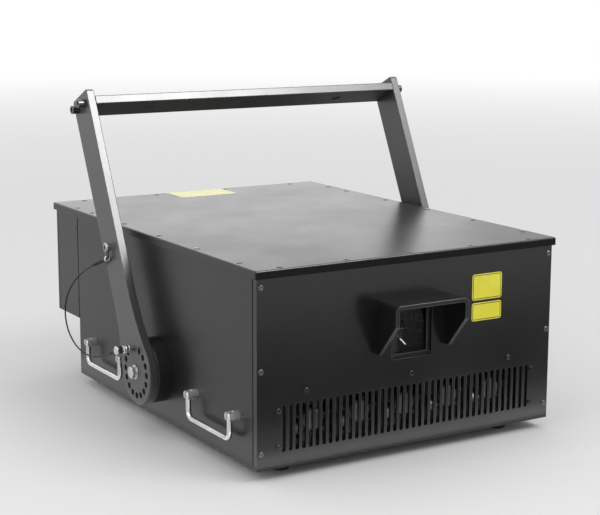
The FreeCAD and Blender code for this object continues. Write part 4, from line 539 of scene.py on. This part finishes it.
# tether screw: button head with a hex socket on its shank, which is measured on the node
tetherScrew = {"steps": 48, "socketShare": 0.44, "depthShare": 0.75, "head": 0.0025, "pastHead": 1.5,
               "shankSteps": 32}
low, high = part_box("tether_screw")
s = tetherScrew
mid = (low + high) / 2
shankFrom = low.x + s["pastHead"] * s["head"]
shank = max(v.co.z for v in cad["tether_screw"].data.vertices if v.co.x > shankFrom) - mid.z
shankLength = high.x - low.x - s["head"]
seat = seatAt((low.x + s["head"], mid.y, mid.z), (-1, 0, 0))
bm = bmesh.new()
addSocketScrew(bm, seat, s["head"], high.z - mid.z, s)
turnedRing(bm, [(shank, 0.0), (shank, -shankLength)], s["shankSteps"], seat)
buttonScrew = meshPiece("tetherSocketScrew", bm, plugShell, "yoke")
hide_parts("tether_screw")

# lock pin: chamfered nose, knurled collar, neck for the tether's eye, pull disc with a dished end
lockPin = {"nose": 0.0008, "stand": 0.0065, "collar": 0.0047, "collarLength": 0.009, "neck": 0.0026,
           "neckLength": 0.006, "pull": 0.0049, "dishShares": (0.6, 0.5), "edge": 0.0004, "lipShare": 1.6,
           "teeth": 20, "knurlDepth": 0.00036, "knurlTurns": 800.0, "rows": 18, "steps": 144}


def knurledRadius(look, height):
    slant = look["knurlTurns"] * height

    def radiusAt(a):
        rise = math.cos(look["teeth"] * a + slant) * math.cos(look["teeth"] * a - slant)
        return look["collar"] - look["knurlDepth"] * (1 - rise) / 2
    return radiusAt


low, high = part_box("lock_pin")
k = lockPin
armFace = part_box("left_arm")[0].x
inEnd = armFace - high.x
outEnd = armFace - low.x
mid = (low + high) / 2
pinRadius = max(v.co.z for v in cad["lock_pin"].data.vertices if v.co.x > armFace) - mid.z
collarEnd = k["stand"] + k["collarLength"]
neckEnd = collarEnd + k["neckLength"]
lip = k["collar"] - k["edge"] * k["lipShare"]
brim = k["collar"] - k["edge"]
pullBrim = k["pull"] - k["edge"]
dishRim, dishFloor = (k["pull"] * share for share in k["dishShares"])
profile = [(pinRadius - k["nose"], inEnd), (pinRadius, inEnd + k["nose"]), (pinRadius, k["stand"]),
           (lip, k["stand"]), (brim, k["stand"] + k["edge"])]
for row in range(k["rows"] + 1):
    height = k["stand"] + 2 * k["edge"] + (k["collarLength"] - 4 * k["edge"]) * row / k["rows"]
    profile.append((knurledRadius(k, height), height))
profile += [(brim, collarEnd - k["edge"]), (lip, collarEnd), (k["neck"], collarEnd), (k["neck"], neckEnd),
            (pullBrim, neckEnd), (k["pull"], neckEnd + k["edge"]), (k["pull"], outEnd - k["edge"]),
            (pullBrim, outEnd), (dishRim, outEnd), (dishFloor, outEnd - k["edge"])]
bm = bmesh.new()
turnedRing(bm, profile, k["steps"], seatAt((armFace, mid.y, mid.z), (-1, 0, 0)))
turnedPin = meshPiece("turnedLockPin", bm, brightSteel, "pin", angle=50)
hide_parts("lock_pin")

# plain discs with a pressed groove on the fan hubs
hubDisc = {"radius": 0.0118, "lift": 0.00022, "groove": 0.0001, "grooveShares": (0.86, 0.84, 0.81, 0.79),
           "steps": 40}
for i, rotor in enumerate(fanRotors, 1):
    low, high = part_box(rotor)
    d = hubDisc
    r1, r2, r3, r4 = (d["radius"] * share for share in d["grooveShares"])
    profile = [(d["radius"], 0.0), (d["radius"], d["lift"]), (r1, d["lift"]),
               (r2, d["groove"]), (r3, d["groove"]), (r4, d["lift"])]
    axis = ((low.x + high.x) / 2, low.y, (low.z + high.z) / 2)
    bm = bmesh.new()
    turnedRing(bm, profile, d["steps"], seatAt(axis, (0, -1, 0)))
    meshPiece("fanHubDisc%d" % i, bm, hubFoil, "rotor_%d" % i)
print("bolts and fan hubs turned")

# feet with a screw sunk in each
footShape = {"foot": 0.012, "wallShare": 0.9, "taper": 0.0015, "round": 0.001, "roundShare": 0.3,
             "recess": 0.0052, "recessLip": 0.0006, "recessFloorShare": 0.95, "recessDepth": 0.0055,
             "steps": 40, "screwHeight": 0.0022, "screwRadius": 0.0042, "screwTurn": 0.7}
bm = bmesh.new()
screwMesh = bmesh.new()
for count, (low, high) in enumerate(solidsIn("rubber_feet")):
    f = footShape
    tall = high.z - low.z
    sole = f["foot"] - f["taper"]
    bend = f["round"] * f["roundShare"]
    mid = (low + high) / 2
    profile = [(f["foot"], tall), (f["foot"], tall * f["wallShare"]), (sole, f["round"]), (sole - bend, bend),
               (sole - f["round"], 0.0), (f["recess"] + f["recessLip"], 0.0), (f["recess"], f["recessLip"]),
               (f["recess"] * f["recessFloorShare"], f["recessDepth"])]
    turnedRing(bm, profile, f["steps"], Matrix.Translation((mid.x, mid.y, low.z)))
    seat = seatAt((mid.x, mid.y, low.z + f["recessDepth"]), (0, 0, -1))
    addCrossScrew(screwMesh, seat, f["screwHeight"], f["screwRadius"], f["screwTurn"] * count)
feet = meshPiece("turnedFeet", bm, footRubber, "chassis")
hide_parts("rubber_feet")
meshPiece("footScrews", screwMesh, screwSteel, "chassis")

# near black strips of T section set into the side seams, tucked under the lid's skirt: a dark piece standing
# for the painted shade in the gaps
seamStrip = {"lip": 0.0003, "proud": 0.0002, "stem": 0.0012, "slack": 0.0001, "foldGap": 0.0005,
             "tuck": 0.004}


def seamSection(near, far, s):
    return [(near + s["slack"], -s["stem"]), (near + s["slack"], 0.0), (near - s["lip"], 0.0),
            (near - s["lip"] / 2, s["proud"]), (far + s["lip"] / 2, s["proud"]), (far + s["lip"], 0.0),
            (far - s["slack"], 0.0), (far - s["slack"], -s["stem"])]


bm = bmesh.new()
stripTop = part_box("lid")[0].z + seamStrip["tuck"]
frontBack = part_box("front_panel")[1].y
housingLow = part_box("rear_housing")[0]
for side, panel in ((-1, "left_side_panel"), (1, "right_side_panel")):
    low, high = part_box(panel)
    face = low.x if side < 0 else high.x
    for near, far, foot in ((frontBack, low.y, low.z), (high.y, housingLow.y, housingLow.z)):
        section = seamSection(near, far, seamStrip)
        levels = (foot + seamStrip["foldGap"], stripTop)
        skinRings(bm, [[bm.verts.new((face + side * out, y, z)) for y, out in section] for z in levels])
meshPiece("seamShadeStrips", bm, seamShadeBlack, "chassis", smooth=False)
print("seams sealed")

# rear sockets: mouth ring, contact block and pins, two screws each
roundSocket = {"well": 0.009, "depth": 0.012, "ring": 0.0009, "ringWallShare": 0.7, "ringLip": 0.0004,
               "ringWidth": 0.0019, "ringFlatShare": 0.8, "ringSteps": 48,
               "block": 0.0034, "blockShare": 0.985, "blockWallShare": 0.8, "blockTopShare": 0.93,
               "blockSteps": 40, "pins": 3, "firstPin": 90, "pinCircle": 0.0043, "pin": 0.0011,
               "pinLength": 0.0072, "pinForm": ((1.0, 0.0), (1.0, 0.86), (0.72, 0.97), (0.3, 1.0)),
               "pinSteps": 14, "screwX": 0.0095, "screwZ": 0.0122, "screw": 0.0021, "screwRise": 0.0008,
               "screwTurn": 0.5, "turnAlong": 30}
blocks = bmesh.new()
pins = bmesh.new()
plateScrews = bmesh.new()
for low, high in solidsIn("signal_sockets") + solidsIn("power_inlet"):
    s = roundSocket
    x = (low.x + high.x) / 2
    z = (low.z + high.z) / 2
    mouth = high.y
    floorY = mouth - s["depth"]
    well, ring, block = s["well"], s["ring"], s["block"]
    rim = [(well, 0.0), (well, ring * s["ringWallShare"]), (well + s["ringLip"], ring),
           (well + s["ringWidth"] * s["ringFlatShare"], ring), (well + s["ringWidth"], 0.0)]
    turnedRing(blocks, rim, s["ringSteps"], seatAt((x, mouth, z), (0, 1, 0)), loop=True)
    core = [(well * s["blockShare"], 0.0), (well * s["blockShare"], block * s["blockWallShare"]),
            (well * s["blockTopShare"], block)]
    turnedRing(blocks, core, s["blockSteps"], seatAt((x, floorY, z), (0, 1, 0)))
    pinForm = [(s["pin"] * r, s["pinLength"] * h) for r, h in s["pinForm"]]
    for k in range(s["pins"]):
        a = math.radians(s["firstPin"] + 360 * k / s["pins"])
        spot = (x + s["pinCircle"] * math.cos(a), floorY + block, z + s["pinCircle"] * math.sin(a))
        turnedRing(pins, pinForm, s["pinSteps"], seatAt(spot, (0, 1, 0)))
    for k in (-1, 1):
        seat = seatAt((x + k * s["screwX"], mouth, z - k * s["screwZ"]), (0, 1, 0))
        turn = s["screwTurn"] + k + x * s["turnAlong"]
        addCrossScrew(plateScrews, seat, s["screwRise"], s["screw"], turn)

# data sockets: contact rows in a black block and a hex post each side
dataSocket = {"faceX": 0.0178, "faceZ": 0.0031, "slant": 0.0009, "lift": 0.0002, "step": 0.00254,
              "rows": ((13, 0.0014), (12, -0.0014)), "hole": 0.0007, "bore": 0.00042, "holeRise": 0.00015,
              "holeSteps": 10, "post": 0.0235, "postFlat": 0.0024, "postRise": 0.0042, "postSink": 0.0045}
posts = bmesh.new()
for low, high in solidsIn("data_sockets"):
    d = dataSocket
    x = (low.x + high.x) / 2
    z = (low.z + high.z) / 2
    faceY = high.y
    wide, tall = d["faceX"], d["faceZ"]
    outline = [(d["slant"] - wide, -tall), (wide - d["slant"], -tall), (wide, tall), (-wide, tall)]
    levels = (faceY, faceY + d["lift"])
    skinRings(blocks, [[blocks.verts.new((x + a, y, z + b)) for a, b in outline] for y in levels])
    contact = [(d["hole"], 0.0), (d["hole"], d["holeRise"]), (d["bore"], d["holeRise"]), (d["bore"], 0.0)]
    for count, rise in d["rows"]:
        for k in range(count):
            spot = (x + (k - (count - 1) / 2) * d["step"], faceY + d["lift"], z + rise)
            turnedRing(pins, contact, d["holeSteps"], seatAt(spot, (0, 1, 0)), loop=True)
    for k in (-1, 1):
        seat = seatAt((x + k * d["post"], faceY - d["postSink"], z), (0, 1, 0))
        addHexHead(posts, seat, d["postFlat"], d["postRise"], hexBolt)
meshPiece("socketBlocks", blocks, socketPlastic, "chassis")
meshPiece("socketPins", pins, brightSteel, "chassis")
meshPiece("socketPlateScrews", plateScrews, screwSteel, "chassis")
meshPiece("dataPosts", posts, brightSteel, "chassis", angle=20)

# on and off marks moulded on the rocker's two faces
rockerMark = {"lift": 0.00015, "bar": (0.0006, 0.003), "ring": (0.0016, 0.0023), "ringSteps": 28,
              "rise": 0.003, "reach": 0.0117, "pivotRise": 0.015}
m = rockerMark
low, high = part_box("power_rocker")
frameLow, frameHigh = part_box("switch_frame")
pivotX = (low.x + high.x) / 2
pivotZ = frameLow.z + m["pivotRise"]
faceY = frameHigh.y
barX, barY = m["bar"]
inner, outer = m["ring"]
upper = seatAt((pivotX, faceY + m["rise"] / 2, pivotZ + m["reach"] / 2), (0, m["reach"], -m["rise"]))
lower = seatAt((pivotX, faceY, pivotZ - m["reach"] / 2), (0, 1, 0))
corners = ((-barX, -barY), (barX, -barY), (barX, barY), (-barX, barY))
bm = bmesh.new()
skinRings(bm, [[bm.verts.new(upper @ Vector((x, y, z))) for x, y in corners] for z in (0.0, m["lift"])])
ringForm = [(inner, 0.0), (inner, m["lift"]), (outer, m["lift"]), (outer, 0.0)]
turnedRing(bm, ringForm, m["ringSteps"], lower, loop=True)
meshPiece("rockerMarks", bm, rockerInk, "rocker", smooth=False)
print("rear fittings dressed")

# wire rope on its route, the part's own points in metres
tetherRope = {
    "route": [(-0.2316, 0.0714, 0.1869), (-0.23324, 0.09093, 0.17936), (-0.235, 0.1145, 0.168),
              (-0.2385, 0.1345, 0.1525), (-0.2422, 0.1485, 0.1315), (-0.2448, 0.1485, 0.109),
              (-0.246, 0.134, 0.089), (-0.2463, 0.1085, 0.0765), (-0.246, 0.077, 0.0732),
              (-0.2452, 0.0475, 0.0778), (-0.2441, 0.02313, 0.08651), (-0.2441, 0.0046, 0.0932)],
    "resolution": 14, "radius": 0.001, "strands": 6, "strandShare": 0.36, "lay": 0.012, "sides": 6,
    "sleeve": 0.0021, "sleeveEnd": 0.72, "sleeveSides": 16, "sleeveLengths": (0.014, 0.012),
    "sleeveReach": 0.0055}


def splinePoints(route, resolution):
    curve = bpy.data.curves.new("tetherLine", "CURVE")
    curve.dimensions = "3D"
    curve.resolution_u = resolution
    spline = curve.splines.new("NURBS")
    spline.points.add(len(route) - 1)
    for point, co in zip(spline.points, route):
        point.co = (*co, 1.0)
    spline.order_u = 3
    spline.use_endpoint_u = True
    obj = bpy.data.objects.new("tetherLine", curve)
    scene.collection.objects.link(obj)
    bpy.context.view_layer.update()
    mesh = bpy.data.meshes.new_from_object(obj.evaluated_get(bpy.context.evaluated_depsgraph_get()))
    points = [v.co.copy() for v in mesh.vertices]
    bpy.data.objects.remove(obj)
    bpy.data.curves.remove(curve)
    bpy.data.meshes.remove(mesh)
    return points


# each point with two directions across the rope and the length run so far
def ropeFrames(points):
    last = len(points) - 1
    tangents = [(points[min(i + 1, last)] - points[max(i - 1, 0)]).normalized() for i in range(last + 1)]
    side = tangents[0].orthogonal().normalized()
    travel = 0.0
    frames = []
    for i, p in enumerate(points):
        if i:
            travel += (p - points[i - 1]).length
        side = (side - tangents[i] * side.dot(tangents[i])).normalized()
        frames.append((p, side.copy(), tangents[i].cross(side).normalized(), travel))
    return frames


def crossRing(bm, centre, u, v, radius, sides):
    angles = [2 * math.pi * k / sides for k in range(sides)]
    return [bm.verts.new(centre + (u * math.cos(a) + v * math.sin(a)) * radius) for a in angles]


def ropeMesh(frames, look):
    bm = bmesh.new()
    strandRadius = look["radius"] * look["strandShare"]
    coreRadius = look["radius"] - strandRadius
    for strand in range(look["strands"]):
        rings = []
        for p, u, v, travel in frames:
            a = 2 * math.pi * (strand / look["strands"] + travel / look["lay"])
            centre = p + (u * math.cos(a) + v * math.sin(a)) * coreRadius
            rings.append(crossRing(bm, centre, u, v, strandRadius, look["sides"]))
        skinRings(bm, rings)
    return bm


# shrunk sleeve round a stretch of the rope, drawn in at its ends
def sleeveMesh(run, look):
    bm = bmesh.new()
    rings = []
    for k, (p, u, v, travel) in enumerate(run):
        radius = look["sleeve"] * (look["sleeveEnd"] if k in (0, len(run) - 1) else 1.0)
        rings.append(crossRing(bm, p, u, v, radius, look["sleeveSides"]))
    skinRings(bm, rings)
    return bm


eyeRing = {"size": 0.0062, "blend": 0.0002, "smear": 240.0, "gloss": (0.8, 0.14),
           "sleeve": grey(0.01, 0.0005), "sleeveLift": 1.8, "metal": grey(0.62, 0.01), "metalLift": 1.15}


# upper eye: a bright ring past the black sleeve, split across the rope's line
def eyeFinish(route, look):
    mat, tree, shader, coords = newFinish("tetherEyeRing")
    out = (Vector(route[0]) - Vector(route[1])).normalized()
    split = max(v.co.dot(out) for v in cad["tether_upper_eye"].data.vertices) - look["size"]
    along = addNode(tree, "ShaderNodeVectorMath", {1: out}, operation="DOT_PRODUCT")
    tree.links.new(coords, along.inputs[0])
    ring = remap(tree, along.outputs["Value"], split - look["blend"], split + look["blend"], 0.0, 1.0)
    smear = noiseAt(tree, coords, look["smear"])
    sleeve = mixColour(tree, smear, look["sleeve"], tuple(c * look["sleeveLift"] for c in look["sleeve"]))
    metal = mixColour(tree, smear, look["metal"], tuple(c * look["metalLift"] for c in look["metal"]))
    tree.links.new(mixColour(tree, ring, sleeve, metal), shader.inputs["Base Color"])
    tree.links.new(ring, shader.inputs["Metallic"])
    tree.links.new(remap(tree, ring, 0.0, 1.0, *look["gloss"]), shader.inputs["Roughness"])
    return mat


cad["tether_upper_eye"].data.materials[0] = eyeFinish(tetherRope["route"], eyeRing)
ropePoints = splinePoints(tetherRope["route"], tetherRope["resolution"])
frames = ropeFrames(ropePoints)
ropeLength = frames[-1][3]
rope = meshPiece("tetherRope", ropeMesh(frames, tetherRope), ropeCoat, None, angle=60)
upperLength, lowerLength = tetherRope["sleeveLengths"]
p, u, v, travel = frames[0]
lead = (p - (ropePoints[1] - p).normalized() * tetherRope["sleeveReach"], u, v, travel)
upperRun = [lead] + [f for f in frames if f[3] <= upperLength]
lowerRun = [f for f in frames if f[3] >= ropeLength - lowerLength]
upperMesh = sleeveMesh(upperRun, tetherRope)
lowerMesh = sleeveMesh(lowerRun, tetherRope)
upperSleeve = meshPiece("tetherUpperSleeve", upperMesh, ropeSleeve, "yoke")
lowerSleeve = meshPiece("tetherLowerSleeve", lowerMesh, ropeSleeve, "pin")
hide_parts("tether")
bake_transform(rope)
print("tether laid, length", round(ropeLength, 4))

# plain stickers with an inked border line
sticker = {"film": 0.00012, "ink": 0.00004, "border": 0.0012, "line": 0.0008, "corner": 0.003,
           "leastCorner": 0.0004, "cornerSteps": 4}


def roundedOutline(w, h, r, steps):
    outline = []
    for cx, cy, start in ((w - r, h - r, 0), (r - w, h - r, 90), (r - w, r - h, 180), (w - r, r - h, 270)):
        for step in range(steps + 1):
            a = math.radians(start + 90 * step / steps)
            outline.append((cx + r * math.cos(a), cy + r * math.sin(a)))
    return outline


def stickerPiece(name, film, centre, up, width, height, look):
    bm = bmesh.new()
    right = Vector((1, 0, 0))
    normal = right.cross(up)
    layers = ((0.0, look["film"], 0), (look["border"], look["film"] + look["ink"], 1),
              (look["border"] + look["line"], look["film"] + 2 * look["ink"], 0))
    for inset, lift, matIndex in layers:
        corner = max(look["corner"] - inset, look["leastCorner"])
        outline = roundedOutline(width / 2 - inset, height / 2 - inset, corner, look["cornerSteps"])
        rings = [[bm.verts.new(centre + right * x + up * y + normal * rise) for x, y in outline]
                 for rise in (0.0, lift)]
        for face in skinRings(bm, rings):
            face.material_index = matIndex
    return meshPiece(name, bm, [film, stickerInk], "chassis", smooth=False)


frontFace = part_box("front_panel")[0].y
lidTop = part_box("lid")[1].z
stickerSpots = (
    ("frontStickerUpper", stickerFilm, (0.103, frontFace, 0.181), (0, 0, 1), 0.042, 0.030),
    ("frontStickerLower", stickerFilm, (0.103, frontFace, 0.1525), (0, 0, 1), 0.042, 0.021),
    ("lidSticker", lidFilm, (0.007, 0.260, lidTop), (0, 1, 0), 0.086, 0.053),
)
for name, film, centre, up, width, height in stickerSpots:
    stickerPiece(name, film, Vector(centre), Vector(up), width, height, sticker)
print("stickers laid")

# pale floor and studio
studio = {"floor": grey(0.86), "paleShare": 0.985, "fibre": (30.0, 5.0, 0.6), "floorRough": 0.9,
          "reach": 70.0, "floorRings": 8, "floorSides": 64, "fade": (0.9, 6.0),
          "fadeColour": (0.5, 0.5, 0.5, 1), "world": 0.6, "backdrop": 1.0, "backdropColour": (1, 1, 1, 1)}


# rays that look at the backdrop, straight or in metal and glass
def lookingRay(tree):
    path = addNode(tree, "ShaderNodeLightPath")
    seen = path.outputs["Is Camera Ray"]
    for kind in ("Is Glossy Ray", "Is Transmission Ray"):
        seen = combine(tree, "MAXIMUM", seen, path.outputs[kind])
    return seen


# a round sheet whose rings widen outwards
def floorSheet(look):
    bm = bmesh.new()
    sides = look["floorSides"]
    angles = [2 * math.pi * k / sides for k in range(sides)]
    rows = [[bm.verts.new((0, 0, 0))] * sides]
    for step in range(1, look["floorRings"] + 1):
        radius = look["reach"] * (step / look["floorRings"]) ** 2
        rows.append([bm.verts.new((radius * math.cos(a), radius * math.sin(a), 0.0)) for a in angles])
    for inner, outer in zip(rows, rows[1:]):
        for i in range(sides):
            j = (i + 1) % sides
            tip = (inner[i],) if inner is rows[0] else (inner[j], inner[i])
            bm.faces.new((*tip, outer[i], outer[j]))
    return bm


# paper whose far part fades into the white backdrop
def floorFinish(look):
    mat, tree, shader, coords = newFinish("studioPaper")
    fibre = noiseAt(tree, coords, *look["fibre"])
    pale = tuple(c * look["paleShare"] for c in look["floor"])
    tree.links.new(mixColour(tree, fibre, pale, look["floor"]), shader.inputs["Base Color"])
    shader.inputs["Roughness"].default_value = look["floorRough"]
    shader.inputs["Specular IOR Level"].default_value = 0.0
    away = addNode(tree, "ShaderNodeVectorMath", operation="LENGTH")
    tree.links.new(coords, away.inputs[0])
    far = remap(tree, away.outputs["Value"], *look["fade"], 0.0, 1.0)
    tree.links.new(combine(tree, "MULTIPLY", far, lookingRay(tree)), shader.inputs["Emission Strength"])
    shader.inputs["Emission Color"].default_value = look["fadeColour"]
    return mat


def stageSheet(name, bm, mat):
    mesh = bpy.data.meshes.new(name)
    bm.to_mesh(mesh)
    bm.free()
    mesh.materials.append(mat)
    sheet = bpy.data.objects.new(name, mesh)
    scene.collection.objects.link(sheet)
    return sheet


floor = stageSheet("studioFloor", floorSheet(studio), floorFinish(studio))

world = bpy.data.worlds.new("studioWorld")
scene.world = world
world.use_nodes = True
tree = world.node_tree
background = tree.nodes["Background"]
strength = remap(tree, lookingRay(tree), 0.0, 1.0, studio["world"], studio["backdrop"])
background.inputs["Color"].default_value = studio["backdropColour"]
tree.links.new(strength, background.inputs["Strength"])

# cards seen only in glossy faces: a grey one lying in front of the box and a dark one hung further off
# each runs from left to right between two edges, given as (y, z)
cards = {
    "frontCard": {"left": -0.3, "right": 2.4, "edges": ((-0.4, 0.002), (-2.6, 0.002)),
                  "shade": grey(0.1), "farShade": grey(0.95), "turn": (-0.65, -1.15), "rough": 0.9},
    "darkFlag": {"left": 0.1, "right": 2.2, "edges": ((-1.7, 1.05), (-1.7, 1.6)),
                 "shade": grey(0.01), "farShade": grey(0.016), "turn": (-1.6, -1.8), "rough": 0.9},
}


def cardFinish(name, look):
    mat, tree, shader, coords = newFinish(name)
    depth = addNode(tree, "ShaderNodeSeparateXYZ")
    tree.links.new(coords, depth.inputs[0])
    further = remap(tree, depth.outputs["Y"], *look["turn"], 0.0, 1.0)
    tree.links.new(mixColour(tree, further, look["shade"], look["farShade"]), shader.inputs["Base Color"])
    shader.inputs["Roughness"].default_value = look["rough"]
    return mat


for name, look in cards.items():
    near, far = look["edges"]
    left, right = look["left"], look["right"]
    bm = bmesh.new()
    corners = ((left, *near), (right, *near), (right, *far), (left, *far))
    bm.faces.new([bm.verts.new(corner) for corner in corners])
    card = stageSheet(name, bm, cardFinish(name + "Paper", look))
    card.visible_camera = False
    card.visible_diffuse = False
    card.visible_shadow = False
    card.visible_transmission = False

# lamps, of which the gloss only ones are seen as reflections
softboxes = {
    "overheadBox": {"at": (0.1, 0.5, 2.2), "aim": (0.0, 0.1, 0.2), "size": (2.4, 2.0), "power": 8},
    "leftBox": {"at": (-2.2, -0.3, 1.3), "aim": (0.0, 0.0, 0.2), "size": (1.2, 1.6), "power": 14},
    "frontBox": {"at": (0.9, -1.6, 1.9), "aim": (0.0, 0.05, 0.2), "size": (1.4, 1.0), "power": 16},
    "barStrip": {"at": (0.82, -1.35, 1.87), "aim": (-0.1, 0.1, 0.3), "size": (1.0, 0.8), "power": 58,
                 "glossOnly": True},
    "sillStrip": {"at": (0.07, -0.297, 0.004), "aim": (0.07, -0.297, 1.0), "size": (0.66, 0.034),
                  "power": 0.115, "glossOnly": True},
    "sideSill": {"at": (-0.24, 0.02, 0.004), "aim": (-0.24, 0.02, 1.0), "size": (0.06, 0.6),
                 "power": 0.062, "glossOnly": True},
    "rearStrip": {"at": (0.6, 2.5, 0.85), "aim": (0.0, 0.0, 0.25), "size": (2.8, 1.5), "power": 9,
                  "glossOnly": True},
}
for name, box in softboxes.items():
    lamp = bpy.data.lights.new(name, "AREA")
    lamp.shape = "RECTANGLE"
    lamp.size, lamp.size_y = box["size"]
    lamp.energy = box["power"]
    obj = bpy.data.objects.new(name, lamp)
    obj.location = box["at"]
    obj.rotation_euler = (Vector(box["aim"]) - Vector(box["at"])).to_track_quat("-Z", "Y").to_euler()
    obj.visible_camera = False
    obj.visible_diffuse = not box.get("glossOnly", False)
    scene.collection.objects.link(obj)

photoCamera = {"at": (-0.94738, -1.57267, 0.53458), "turn": (79.1494, -0.1561, -31.2177), "lens": 90.918,
               "sensor": 36.0}
lens = bpy.data.cameras.new("photoCamera")
lens.lens = photoCamera["lens"]
lens.sensor_fit = "HORIZONTAL"
lens.sensor_width = photoCamera["sensor"]
camera = bpy.data.objects.new("photoCamera", lens)
camera.location = photoCamera["at"]
camera.rotation_euler = [math.radians(a) for a in photoCamera["turn"]]
scene.collection.objects.link(camera)
scene.camera = camera
scene.view_settings.view_transform = "Standard"
print("studio lit")
